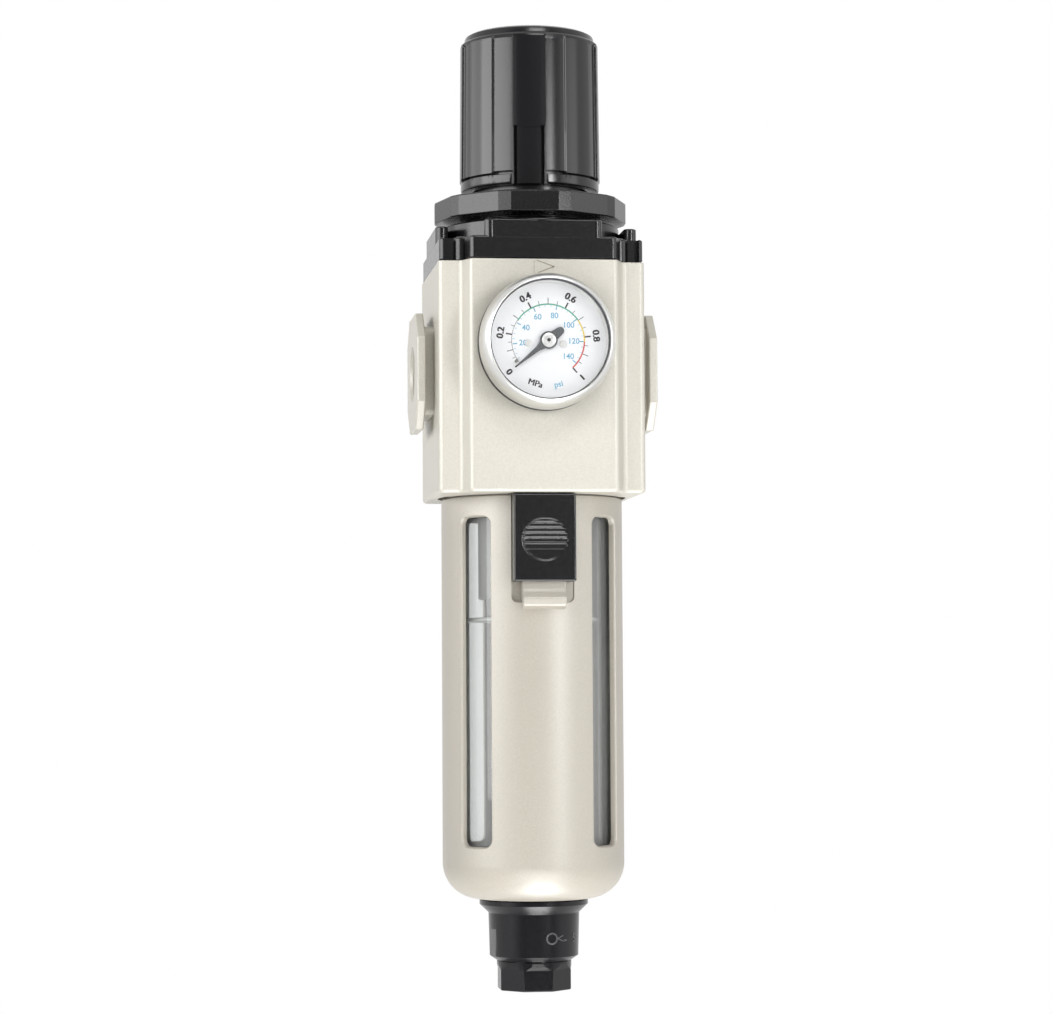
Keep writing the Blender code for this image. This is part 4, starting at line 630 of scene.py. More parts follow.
def bonnet_deck():
    """The deck, with a pocket cored out of each shoulder and the screw's boss standing in it."""
    outline = body_outline(0.3)
    deck = skin("bonnet_deck", carried(outline, edge_round(BONNET_LOW, DECK, 0.15, 0.5)))
    tools = [(spun_tool("skirt_room", [(0, BONNET_LOW - 1), (SKIRT_ROOM, BONNET_LOW - 1), (SKIRT_ROOM, DECK + 1),
                                       (0, DECK + 1)]), "DIFFERENCE")]
    corners = [(x, y) for x in (-1, 1) for y in (-1, 1)]
    for x, y in corners:
        low, high = sorted((x * (SIDE - 1.3), x * 17.0)), sorted((y * (SHOULDER + 1), y * (SHOULDER - 2.0)))
        tools.append((box_tool("pocket", (low[0], high[0], BONNET_LOW - 1), (low[1], high[1], DECK + 1)), "DIFFERENCE"))
    for x, y in corners:
        boss = [(0, BONNET_LOW), (2.6, BONNET_LOW), (2.6, DECK + 0.1, 0.4), (0, DECK + 0.1)]
        tools.append((spun_tool("boss", boss, "up", (x * 19.3, y * 19.9, 0), 40), "UNION"))
    for x, y in corners:
        tools.append((spun_tool("screw_hole", [(0, 25), (2.3, 25), (2.3, 33), (0, 33)], "up", (x * 19, y * 19, 0), 24),
                      "DIFFERENCE"))
    return worked(deck, tools)


def bonnet_wall(name, place, along_x):
    """One raised wall: a long bar with fully rounded ends."""
    half, thick = (14.4, 1.4) if along_x else (13.4, 1.6)
    outline = box_outline(half, thick, thick * 0.98) if along_x else box_outline(thick, half, thick * 0.98)
    return skin(name, carried(outline, edge_round(DECK - 0.4, WALL_TOP, 0.0, 0.35)) + (*place, 0))


def bonnet_tower():
    thread = np.arange(37.2, 44.0, 0.375)
    crest = np.where(np.arange(len(thread)) % 4 < 2, 17.9, 17.35)
    profile = [
        (SKIRT_ROOM, DECK - 0.6), (22.4, DECK - 0.6), (22.4, 36.8, 0.5), (17.6, 37.0),
        *zip(crest.tolist(), thread.tolist()), (17.2, 44.2), (14.0, 44.2, 0.4), (14.0, 58.5, 0.6), (4.2, 58.5),
        (4.2, 56.2), (SPRING_ROOM, 56.2), (SPRING_ROOM, 33.6), (SKIRT_ROOM, 30.6 + 0.35)]
    return skin("bonnet_tower", spun(rounded(profile), 128), "ring")


dress(bonnet_deck(), BLACK, "housing", "bonnet")
FRONT_WALL = PANEL_FACE - GAP - 1.4
SIDE_WALL = SIDE - GAP - 1.6
front_wall = bonnet_wall("bonnet_front_wall", (0, -FRONT_WALL), True)
notch = box_tool("notch", (-1.4, -FRONT_WALL - 3, WALL_TOP - 0.9), (1.4, -FRONT_WALL + 3, WALL_TOP + 1))
dress(worked(front_wall, [(notch, "DIFFERENCE")]), BLACK, "housing")
dress(bonnet_wall("bonnet_rear_wall", (0, FRONT_WALL), True), BLACK, "housing")
dress(bonnet_wall("bonnet_left_wall", (-SIDE_WALL, 0), False), BLACK, "housing")
dress(bonnet_wall("bonnet_right_wall", (SIDE_WALL, 0), False), BLACK, "housing")
dress(bonnet_tower(), BLACK, "housing")
post = spun(rounded([(0, WALL_TOP), (1.5, WALL_TOP, 0.4), (1.5, DECK - 0.4), (0, DECK - 0.4)], closed=False), 40)
ends = [(13.0, FRONT_WALL), (SIDE_WALL, 12.0)]
posts = [skin("post", post + (i * x, j * y, 0)) for x, y in ends for i in (-1, 1) for j in (-1, 1)]
dress(merged("bonnet_wall_posts", posts), BLACK, "housing")

# %% [markdown]
# The four cover screws have low domed heads with a hexagon socket. The socket is a short prism cut out of a
# spun head.

# %% Cover screws
def cover_screw(name, place):
    low, top = span(name)[0][2], DECK + 0.6
    profile = [(0, top), (1.95, top, 0.45), (1.95, low), (0, low)]
    screw = skin(name + "_head", spun(rounded(profile, closed=False), 48) + (*place, 0))
    socket = skin("socket", carried(polygon(6, 2.3, 0.05), np.array([(0, top - 1.1), (0, top + 1)])) + (*place, 0))
    return worked(screw, [(socket, "DIFFERENCE")])


for k in range(1, 5):
    low, high = span(f"bonnet_screw_{k}")
    middle = (low + high) / 2
    dress(cover_screw(f"bonnet_screw_{k}", tuple(middle[:2])), SCREW_STEEL, "housing", f"bonnet_screw_{k}")

# %% [markdown]
# ## The panel nut
#
# A ring with ten wide facets and ten narrow ones between them. Its outline joins the ends of the wide facets,
# the top and bottom edges are broken by a small round, and the bore is drawn in from the same points.

# %% Panel nut
NUT_LOW, NUT_HIGH = span("panel_nut")


def panel_nut():
    """The ring, with a corner at each end of every wide facet."""
    corners, reach = [], NUT_HIGH[0]
    for k in range(10):
        middle = -math.pi / 2 + math.radians(14) + math.tau / 10 * (k + 0.5)
        for side in (-14, 14):
            a = middle + math.radians(side)
            corners.append((reach * math.cos(a), reach * math.sin(a), 0.5))
    outline = rounded(corners)
    low, high = NUT_LOW[2], NUT_HIGH[2]
    outside = stacked(corners, edge_round(low, high, 0.35, 0.5))
    inside = bore_rows(outline, np.array([(18.6, high), (18.2, high - 0.4), (18.2, low + 0.4), (18.6, low)]))
    return skin("panel_nut_ring", np.concatenate((outside, inside)), "ring")


dress(panel_nut(), NUT_BLACK, "housing", "panel_nut", sharp=9)

# %% [markdown]
# ## The knob
#
# The knob is a surface of two parameters, the angle round the axis and the height. Its radius blends between
# two profiles: the lands, which stand out, and the recess floors between them. A smooth step over one and a
# half degrees on each side of a land does the blending. At the front and the rear a snap tongue is freed by
# two slits, which are deep narrow drops in the same radius. The columns crowd together where it changes fast.

# %% Knob surface
KNOB_LOW, KNOB_HIGH = span("knob")
KNOB_TURN = math.radians(-7.5)
LAND, STEP_WIDTH, DRAFT = 13.0, 1.3, 0.35
TONGUE_TOP = 60.5
TONGUE_HALF, SLIT = 3.1, 0.85


def knob_angles():
    """Angles for the columns: eight times one land, with extra columns at its edges and at the slits."""
    arc = lambda s: math.degrees(s / KNOB_RADIUS)
    half = np.concatenate((
        np.linspace(0, 9.5, 8), arc(TONGUE_HALF) + np.array((-0.25, 0.0, 0.25)),
        arc(TONGUE_HALF + SLIT) + np.array((-0.25, 0.0)), LAND + np.linspace(0, STEP_WIDTH, 6),
        arc(4.75) + np.array((0.0, 0.25)), np.linspace(16.6, 22.0, 6)))
    land = np.unique(np.concatenate((-half, half, [22.5])))
    turns = np.arange(8) * 45
    return np.radians((turns[:, None] + land[None]).ravel() - 90) + KNOB_TURN


def smooth(t):
    t = np.clip(t, 0, 1)
    return t * t * (3 - 2 * t)


def knob_grid():
    angle = knob_angles()
    local = np.degrees(angle + math.pi / 2 - KNOB_TURN)
    off_land = (local + 22.5) % 45 - 22.5
    off_tongue = np.radians((local + 90) % 180 - 90) * KNOB_RADIUS
    low, high = KNOB_LOW[2], KNOB_HIGH[2]
    top = high - 2.5
    rim, full = KNOB_RADIUS - 0.3, KNOB_RADIUS - DRAFT
    floor, gap = full - RECESS, full - 1.9
    levels = [
        # height, radius on a land, radius in a recess
        (low, 15.2, 15.2), (low, rim - 0.5, rim - 0.5), (low + 0.15, rim - 0.12, rim - 0.12), (low + 0.5, rim, rim),
        (low + 2.25, rim, rim), (low + 2.4, rim - 0.05, rim - 0.15), (low + 2.43, rim - 0.08, gap),
        (low + 2.62, rim - 0.08, gap), (low + 2.66, full - 0.2, gap), (low + 2.85, full, gap), (low + 3.2, full, gap),
        (low + 3.22, full, floor - 0.1), (low + 3.35, full, floor), (TONGUE_TOP - 0.15, full, floor),
        (TONGUE_TOP + 0.05, full, floor), (TONGUE_TOP + 0.15, full, floor),
        (top - 0.9, full, floor), (top - 0.6, full, floor + 0.05), (top - 0.25, full - 0.02, full - 0.35),
        (top, full - 0.12, full - 0.2), (top + 0.35, full - 0.5, full - 0.5), (top + 0.55, full - 0.75, full - 0.75),
        (top + 0.65, full - 0.95, full - 0.95), (top + 1.6, full - 1.1, full - 1.1), (top + 1.9, full - 1.25, full - 1.25),
        (high - 0.15, full - 2.1, full - 2.1), (high, full - 3.0, full - 3.0), (high, full - 5.0, full - 5.0),
        (high - 0.35, full - 5.4, full - 5.4), (high - 0.35, 0, 0),
    ]
    height, land, recess = np.array(levels).T
    blend = smooth((np.abs(off_land) - LAND) / STEP_WIDTH)
    radius = land[:, None] * (1 - blend) + recess[:, None] * blend
    drafted = (height > low + 2.5) & (height < top)
    radius = radius + np.where(drafted, DRAFT * (top - height) / (top - low), 0)[:, None]
    across = np.abs(off_tongue)[None]
    under = ((height > low - 1) & (height < TONGUE_TOP))[:, None]
    window = under & (across < 4.8)
    radius = np.where(window & (radius > 16.9), 16.9, radius)
    slit = under & (across > TONGUE_HALF + 0.02) & (across < TONGUE_HALF + SLIT + 0.02)
    radius = np.where(slit, np.minimum(radius, 15.1), radius)
    outside = np.stack((radius * np.cos(angle), radius * np.sin(angle), height[:, None] + 0 * angle), -1)
    hexagon = 3.7 / np.cos((angle - math.pi / 6) % (math.pi / 3) - math.pi / 6)
    inner = [(82.6, 0.2, 0), (82.6, 1, 0), (62.6, 1, 0), (62.6, 0, 6.6), (82.5, 0, 6.6), (82.5, 0, 14.7), (low, 0, 14.7)]
    height, share, fixed = np.array(inner).T
    hollow = share[:, None] * hexagon[None] + fixed[:, None]
    inside = np.stack((hollow * np.cos(angle), hollow * np.sin(angle), height[:, None] + 0 * angle), -1)
    pole = np.array([[(0, 0, 82.6)] * len(angle)])
    return np.concatenate((outside[::-1], inside[::-1], pole))


dress(skin("setting_knob_shell", knob_grid()), KNOB_BLACK, "setting_knob", "knob", sharp=35)

# %% [markdown]
# ## The bowl guard
#
# A die-cast sleeve with a rounded foot, painted like the body. Four tall slots at 45 degrees show the bowl, and
# the latch has its pocket at the front. The sleeve is spun. Whatever is cut out of it or stands on it follows
# its curve, so those shapes are drawn flat, as width s and height z, and are wrapped: the angle is s / radius.

# %% Guard shell
GUARD_WALL, GUARD_FLOOR, GUARD_CORNER = 1.5, 1.6, 9.0
GUARD_BOTTOM, GUARD_TOP = GUARD_LOW[2], GUARD_HIGH[2]
SHOULDER = BODY_BOTTOM - GAP
LATCH_LOW, LATCH_HIGH = span("latch")
LATCH_HALF = LATCH_HIGH[0]
POCKET_BOTTOM = SHOULDER - 26.4
PAD_TOP = POCKET_BOTTOM - 1.4 + 13.4
SIGHT_HALF, SIGHT_TOP, SIGHT_BOTTOM = 4.65, -36.7, -117.5


def wrapped(outline, profile, middle, radius=GUARD_RADIUS):
    """Carries a profile (inset, distance from the axis) round an outline (s, z) that is bent round Z."""
    grid = carried(outline, profile)
    angle = middle + grid[..., 0] / radius
    return np.stack((grid[..., 2] * np.cos(angle), grid[..., 2] * np.sin(angle), grid[..., 1]), -1)


def guard_shell():
    inner, hole = GUARD_RADIUS - GUARD_WALL, 6.3
    profile = rounded([
        (20.4, GUARD_TOP), (NECK_RADIUS, GUARD_TOP, 0.2), (NECK_RADIUS, SHOULDER), (GUARD_RADIUS, SHOULDER, 0.3),
        (GUARD_RADIUS, GUARD_BOTTOM, GUARD_CORNER), (hole, GUARD_BOTTOM), (hole, GUARD_BOTTOM + GUARD_FLOOR),
        (inner, GUARD_BOTTOM + GUARD_FLOOR, GUARD_CORNER - GUARD_WALL), (inner, SHOULDER - 1), (20.4, SHOULDER - 2)],
        step=5)
    shell = skin("bowl_guard_shell", spun(profile, 192), "ring")
    tools = []
    middle, half = (SIGHT_TOP + SIGHT_BOTTOM) / 2, (SIGHT_TOP - SIGHT_BOTTOM) / 2
    sight = box_outline(SIGHT_HALF, half, 2.0) + (0, middle)
    flare = np.array([(0, 18.0), (0, GUARD_RADIUS - 0.6), (-0.08, GUARD_RADIUS - 0.3), (-0.3, GUARD_RADIUS - 0.05),
                      (-0.65, GUARD_RADIUS + 0.3), (-0.65, GUARD_RADIUS + 1)])
    for k in range(4):
        turn = math.pi / 4 + math.pi / 2 * k
        aside = (-1 if k % 2 == 0 else 1) * 0.35 / GUARD_RADIUS
        tools.append((skin(f"sight_{k}", wrapped(sight, flare, turn + aside)), "DIFFERENCE"))
        lug = sector(NECK_RADIUS - 0.6, LUG_REACH, turn, math.radians(16))
        tools.append((skin(f"lug_{k}", carried(lug, np.array([(0, -28.3), (0, -24.9)]))), "UNION"))
    room = box_outline(LATCH_HALF + GAP, 16, 1.5) + (0, POCKET_BOTTOM + 16)
    pocket = wrapped(room, np.array([(0, GUARD_RADIUS - 0.6), (0, 30)]), -math.pi / 2)
    tools.append((skin("latch_pocket", pocket), "DIFFERENCE"))
    tools.append((skin("latch_pad", latch_pad()), "UNION"))
    tools.append((box_tool("latch_window", (-3.0, -24, PAD_TOP), (3.0, -19.7, LATCH_HIGH[2] - 2.5)), "DIFFERENCE"))
    return worked(shell, tools)


def latch_pad():
    """The pad under the latch: its side view (y, z), carried across with rounded ends."""
    face, lip = -24.4, POCKET_BOTTOM - 1.4
    side = rounded([
        (-GUARD_RADIUS + 1.2, PAD_TOP), (face, PAD_TOP, 0.3), (face, LATCH_LOW[2] - 2.9, 3.0),
        (-25.9, lip + 2.4, 0.9), (-25.5, lip + 0.5, 0.9), (-GUARD_RADIUS + 0.8, lip - 0.4)])
    ends = np.array([(0.5, -5.4), (0.12, -5.28), (0, -4.9), (0, 4.9), (0.12, 5.28), (0.5, 5.4)])
    return facing(carried(side, ends), "right")


dress(guard_shell(), GUARD_PAINT_WARM_AND_SHADED, "bowl_set", "bowl_guard", sharp=32)

# %% [markdown]
# ## The latch
#
# A sliding key with a dished thumb rest. Rings run from the back over the rounded edges to the rim of the dish,
# then shrink to its middle. The rest is an ellipse, (x/a)^2 + (z/b)^2 < 1, sunk by D with a soft rim, and a row
# of saw-tooth ribs stands on it, each with its long face turned up to the light.

# %% Latch
LATCH_FOOT = LATCH_LOW[2] - 0.9
DISH_HALF_WIDTH, DISH_HALF_HEIGHT, DISH_DEPTH = 5.9, 5.5, 0.24
RIB_PITCH, RIB_HEIGHT = 1.25, 0.18


def dish(x, z):
    """How far the thumb rest lies behind the face: the ribs are full at the top and fade to the foot."""
    inside = np.clip(1 - (x / DISH_HALF_WIDTH) ** 2 - (z / DISH_HALF_HEIGHT) ** 2, 0, 1)
    fade = 0.1 + 0.9 * smooth((z / DISH_HALF_HEIGHT + 0.8) / 0.9)
    phase = z / RIB_PITCH % 1
    rib = np.clip(np.minimum(phase / 0.12, (0.58 - phase) / 0.46), 0, 1) * RIB_HEIGHT
    return (DISH_DEPTH - rib * fade) * smooth(inside * 4)


def latch_grid():
    middle_z = (LATCH_FOOT + LATCH_HIGH[2]) / 2
    half_height = (LATCH_HIGH[2] - LATCH_FOOT) / 2
    dish_z = -42.6
    face = -LATCH_LOW[1]
    edge = refined(box_outline(LATCH_HALF, half_height, 0.35), 0.15)
    columns = len(edge)
    ray = unit(edge)
    back = GUARD_RADIUS - 0.6 + GAP
    sides = carried(edge, np.array([(0, face - 0.4), (0.05, face - 0.2), (0.15, face - 0.08), (0.35, face)]))
    a = np.arctan2(ray[:, 1], ray[:, 0])
    rim = np.column_stack((DISH_HALF_WIDTH * np.cos(a), DISH_HALF_HEIGHT * np.sin(a)))
    rim_shift = np.array((0, dish_z - middle_z))
    t = np.concatenate(([0.96, 0.5], np.linspace(0.02, 0, 2)))[:, None, None]
    plain = np.concatenate((sides[-1, :, :2][None] * t + (rim + rim_shift)[None] * (1 - t),
                            np.full((len(t), columns, 1), face)), -1)
    s = np.linspace(0.99, 0, 110)[:, None]
    x, z = s * rim[None, :, 0], s * rim[None, :, 1]
    dished = np.stack((x, z + rim_shift[1], face - dish(x, z)), -1)
    foot = np.clip(np.abs(edge[:, :1]), 0, back)
    rest = np.sqrt(back**2 - foot**2)
    skirt = np.concatenate((edge, rest), -1)[None]
    inner = edge * ((LATCH_HALF - 1.7) / LATCH_HALF, (half_height - 1.7) / half_height)
    lip = np.concatenate((inner, rest), -1)[None]
    roof = np.concatenate((inner, np.full((columns, 1), face - 1.7)), -1)[None]
    core = np.concatenate((inner * 0, np.full((columns, 1), face - 1.7)), -1)[None]
    grid = np.concatenate((core, roof, lip, skirt, sides, plain, dished))
    return facing(grid, "front") + (0, 0, middle_z)


latch_face = skin("bowl_latch_key", latch_grid())
stem = box_tool("stem", (-2.7, -25.6, LATCH_HIGH[2] - 6.0), (2.7, -20.6, LATCH_HIGH[2] - 2.8))
dress(worked(latch_face, [(stem, "UNION")]), BLACK, "bowl_latch", "latch", sharp=40)

# %% [markdown]
# ## The bowl and what it holds
#
# The bowl is a thick spun wall with a groove for its ring. Inside hang the louvred deflector, the sintered
# element and the baffle, which are seen through the slots and the clear wall.

# %% Bowl, ring and baffle
def bowl_profile():
    top, bottom = span("bowl")[1][2], span("bowl")[0][2]
    return rounded([
        (20.6, top, 0.4), (20.6, -17.7), (19.2, -17.7), (19.2, -20.5), (20.6, -20.5), (20.6, -22.3), (21.4, -22.3),
        (21.4, -24.3), (19.9, -24.3, 0.4), (19.9, bottom, 8.5), (6.3, bottom), (6.3, bottom + 3.0),
        (17.4, bottom + 3.0, 6.0), (17.4, top, 0.4)], step=5)


def o_ring():
    low, high = span("bowl_o_ring")
    section = (high[2] - low[2]) / 2
    a = np.linspace(0, math.tau, 20, endpoint=False)
    middle = (low[2] + high[2]) / 2
    return spun(np.column_stack((high[0] - section + section * np.cos(a), middle + section * np.sin(a))), 120)


def baffle_profile():
    return rounded([
        (7.7, -59.2, 0.3), (7.7, -61.2), (15.6, -61.2), (16.5, -61.5, 0.2), (16.5, -62.2, 0.3), (4.8, -62.2, 0.4),
        (4.8, -66.3, 0.5), (3.0, -66.3), (3.0, -59.2)])


dress(skin("bowl_wall", spun(bowl_profile(), 144), "ring"), POLYCARBONATE, "bowl_set", "bowl")
dress(skin("bowl_ring", o_ring(), "ring"), NITRILE, "bowl_set", "bowl_o_ring")
dress(skin("baffle_disc", spun(baffle_profile(), 96), "ring"), ACETAL, "housing", "baffle")

# %% [markdown]
# The deflector is a sleeve with twelve blades that set the air spinning. A blade is a small box outline, set at a
# slant, carried outwards and drawn in at its tip, and the same blade is turned round the axis twelve times.

# %% Deflector and element
def turned_copies(grid, count, start=0.0):
    """The same grid at even angles round Z."""
    a = start + math.tau * np.arange(count) / count
    c, s = np.cos(a), np.sin(a)
    x, y = grid[..., 0], grid[..., 1]
    return [np.stack((x * c[k] - y * s[k], x * s[k] + y * c[k], grid[..., 2]), -1) for k in range(count)]


def deflector():
    sleeve = rounded([
        (13.5, -15.3, 0.2), (13.5, -56.6, 0.45), (12.6, -56.6, 0.4), (12.6, -28.5), (9.5, -28.5), (9.5, -27.3),
        (12.6, -27.3), (12.6, -15.3, 0.2)])
    section = polygon(4, 1.0, 0.1) * (4.1, 0.6) @ np.array([[math.cos(0.73), math.sin(0.73)],
                                                           [-math.sin(0.73), math.cos(0.73)]])
    blade = facing(carried(section, np.array([(0, 13.2), (0, 16.7), (0.25, 17.0)])), "right", (0, 0, -23.5))
    blades = [(skin(f"blade_{k}", turn), "UNION") for k, turn in enumerate(turned_copies(blade, 12))]
    return worked(skin("deflector_sleeve", spun(sleeve, 96), "ring"), blades)


def element_profile():
    low, high = span("filter_element")
    return rounded([(11.7, high[2], 0.5), (11.7, low[2], 0.5), (8.0, low[2], 0.5), (8.0, high[2], 0.5)])


dress(deflector(), POLYPROPYLENE, "housing", "deflector")
dress(skin("element_sleeve", spun(element_profile(), 96), "ring"), SINTER, "housing", "filter_element")

# %% [markdown]
# ## The drain
#
# Below the guard are a turned collar with a cone under its flange, and an octagonal knob. The knob's eight flats
# slope out to a round disc at the top, which leaves the arched edge on each face. An arrow between the letters O
# and S, for open and shut, is raised on the collar by 0.25 mm; its paler grey is a painted highlight on their edges.

# %% Drain collar and knob
COLLAR_LOW, COLLAR_HIGH = span("drain_collar")
DRAIN_LOW, DRAIN_HIGH = span("drain_knob")
COLLAR_TOP = GUARD_BOTTOM - GAP


def drain_collar():
    low, room = COLLAR_LOW[2], -135.4
    profile = rounded([
        (2.3, COLLAR_HIGH[2]), (6.0, COLLAR_HIGH[2], 0.3), (6.0, COLLAR_TOP), (13.55, COLLAR_TOP, 0.1),
        (13.55, COLLAR_TOP - 1.1, 0.2), (11.35, COLLAR_TOP - 3.2, 0.1), (11.05, low + 1.1, 0.1), (9.5, low, 0.1),
        (8.3, low), (8.3, room), (2.3, room)])
    collar = skin("drain_collar_body", spun(profile, 128), "ring")
    # a shallow flat at the left, a little to the front
    half, turn = math.radians(15), math.radians(187.65)
    face = 11.05 * math.cos(half)
    ray, side = np.array((math.cos(turn), math.sin(turn))), np.array((-math.sin(turn), math.cos(turn)))
    slab = np.array([ray * face - side * 6, ray * 15 - side * 6, ray * 15 + side * 6, ray * face + side * 6])
    flat = skin("flat", carried(slab, np.array([(0, low - 1), (0, low + 7.8)])))
    return worked(collar, [(flat, "DIFFERENCE")])


def collar_mark(words, size, azimuth, height):
    """A raised mark wrapped round the collar, where a step x along the words turns it by x / R."""
    radius = 11.05
    curve = bpy.data.curves.new("mark", "FONT")
    curve.body, curve.size, curve.extrude = words, size, 0.25
    curve.align_x, curve.align_y = "CENTER", "CENTER"
    obj = bpy.data.objects.new("mark", curve)
    bpy.context.scene.collection.objects.link(obj)
    mesh = taken(obj)
    for v in mesh.vertices:
        t, r = math.radians(azimuth - 90) + v.co.x / radius, radius + v.co.z
        v.co = (r * math.cos(t) * MM, r * math.sin(t) * MM, (height + v.co.y) * MM)
    tidy(mesh)
    obj = bpy.data.objects.new("mark", mesh)
    bpy.context.scene.collection.objects.link(obj)
    return obj


def drain_knob():
    low, top = DRAIN_LOW[2], DRAIN_HIGH[2] - 8.0
    octagon = polygon_corners(8, 17.5, 0.25)
    outside = stacked(octagon, np.array([(0.3, low), (0.1, low + 0.1), (0, low + 0.35), (0, top - 1.95), (-0.8, top)]))
    ring = spun(np.array([(9.3, top - 1.97), (14, top - 1.97), (14, top + 1), (9.3, top + 1)]))
    boss = [(0, top - 1), (8.0, top - 1), (8.0, DRAIN_HIGH[2], 0.4), (0, DRAIN_HIGH[2])]
    outlet = [(0, low - 1), (3.9, low - 1), (3.9, low), (3.2, low + 0.7), (3.2, low + 8), (2.3, low + 8),
              (2.3, DRAIN_HIGH[2] + 1), (0, DRAIN_HIGH[2] + 1)]
    head = worked(skin("drain_knob_body", outside), [(skin("outside_the_disc", ring, "ring"), "DIFFERENCE")])
    return worked(head, [(spun_tool("boss", boss), "UNION"), (spun_tool("outlet", outlet), "DIFFERENCE")])


dress(drain_collar(), DRAIN_BLACK, "bowl_set", "drain_collar")
# the marks' paler grey is a painted highlight, for the light that catches their raised edges
marks = [collar_mark(*mark, -140.6) for mark in (("O", 4.2, 16.2), ("<", 3.6, 28.5), ("-", 4.4, 36.0), ("S", 3.2, 54))]
dress(merged("collar_marks", marks), COLLAR_MARK_HIGHLIGHT, "bowl_set")
dress(drain_knob(), DRAIN_BLACK, "drain_tap", "drain_knob", sharp=24)

# %% [markdown]
# ## The gauge
#
# The parts are spun round the gauge's own axis, which points to the front: the plated case, the chrome bezel
# with its swelling wall, and the window. The dial is printed, so its marks are slabs 0.03 mm thick that lie on
# the enamel.

# %% Gauge case, bezel and window
BEZEL_FRONT = -span("gauge_bezel")[0][1]
CASE_BACK = -span("gauge_case")[1][1]
LENS_FRONT, LENS_BACK = -span("gauge_lens")[0][1], -span("gauge_lens")[1][1]
DIAL_FACE = -span("gauge_dial")[0][1]
AXIS = (0, 0, GAUGE_Z)


def bezel_profile():
    a = np.radians(np.linspace(90, 0, 12))
    rise = 16.5 - 14.75
    swell = np.column_stack((16.5 - rise * (1 - np.cos(a)), BEZEL_FRONT - 6.8 * (1 - np.sin(a))))
    back = BEZEL_FRONT - 7.8
    return np.vstack(([(14.52, BEZEL_FRONT - 0.8), (14.52, BEZEL_FRONT - 0.2), (14.6, BEZEL_FRONT - 0.04)], swell,
                      [(16.5, back + 0.15), (16.35, back), (15.9, back), (15.9, LENS_BACK), (15.1, LENS_BACK),
                       (15.1, BEZEL_FRONT - 0.8)]))


def case_profile():
    front = LENS_BACK - GAP
    return rounded([(15.6, front, 0.1), (15.6, CASE_BACK, 1.2), (4.3, CASE_BACK), (4.3, CASE_BACK + 0.8),
                    (14.8, CASE_BACK + 0.8), (14.8, front, 0.1)])


def window_profile():
    return rounded([(0, LENS_BACK), (14.8, LENS_BACK, 0.15), (14.8, LENS_FRONT, 0.3), (0, LENS_FRONT)], closed=False)


dress(skin("bezel_ring", facing(spun(bezel_profile(), 160), "front", AXIS), "ring"), SATIN_CHROME, "housing", "gauge_bezel")
dress(skin("case_cup", facing(spun(case_profile(), 128), "front", AXIS), "ring"), CASE_METAL, "housing", "gauge_case")
ring = np.array([(14.1, DIAL_FACE + 0.1), (14.65, DIAL_FACE + 0.1), (14.65, LENS_BACK - 0.05), (14.3, LENS_BACK - 0.05)])
dress(skin("dial_spacer", facing(spun(ring, 128), "front", AXIS), "ring"), ACETAL, "housing")
# a dark rubber ring behind the bezel, put there as painted shadow for the dark line along the bezel's back edge
seal = np.array([(15.7, PANEL_FACE + 0.3), (16.5, PANEL_FACE + 0.5), (16.5, CASE_BACK + 2.7), (15.7, CASE_BACK + 2.7)])
dress(skin("bezel_back_shadow_ring", facing(spun(seal, 128), "front", AXIS), "ring"), NITRILE, "housing")
# a dark ring round the window's edge, painted shadow for the line that the bezel's lip shades
edge = np.array([(14.2, LENS_FRONT + 0.02), (14.5, LENS_FRONT + 0.02), (14.5, BEZEL_FRONT - 0.12), (14.3, BEZEL_FRONT - 0.12)])
dress(skin("window_edge_shadow_ring", facing(spun(edge, 160), "front", AXIS), "ring"), WINDOW_EDGE_SHADOW, "housing")
dress(skin("window_disc", facing(spun(window_profile(), 128), "front", AXIS)), ACRYLIC, "housing", "gauge_lens")

# %% Dial and its printing
SCALE = np.array([(0, -129), (0.2, -81), (0.4, -28), (0.6, 28), (0.8, 84), (1.0, 138)], float)
PRINT = 0.03


def scale_angle(value):
    """The clockwise angle from straight up at which a pressure in MPa stands."""
    return np.interp(value, SCALE[:, 0], SCALE[:, 1])


def mark(outline):
    """A printed mark: an outline (x, y) on the dial as a thin slab."""
    if np.sum(outline[:, 0] * np.roll(outline[:, 1], -1) - outline[:, 1] * np.roll(outline[:, 0], -1)) < 0:
        outline = outline[::-1]
    grid = carried(outline, np.array([(0, DIAL_FACE), (0, DIAL_FACE + PRINT)]))
    return skin("mark", facing(grid, "front", AXIS))


def tick(value, inner, outer, width):
    t = math.radians(90 - scale_angle(value))
    along, across = np.array((math.cos(t), math.sin(t))), np.array((-math.sin(t), math.cos(t))) * width / 2
    return mark(np.array([inner * along - across, outer * along - across, outer * along + across, inner * along + across]))


def band(low, high, inner, outer):
    a, b = scale_angle(low), scale_angle(high)
    return mark(sector(inner, outer, math.radians(90 - (a + b) / 2), math.radians(abs(b - a) / 2), 40))


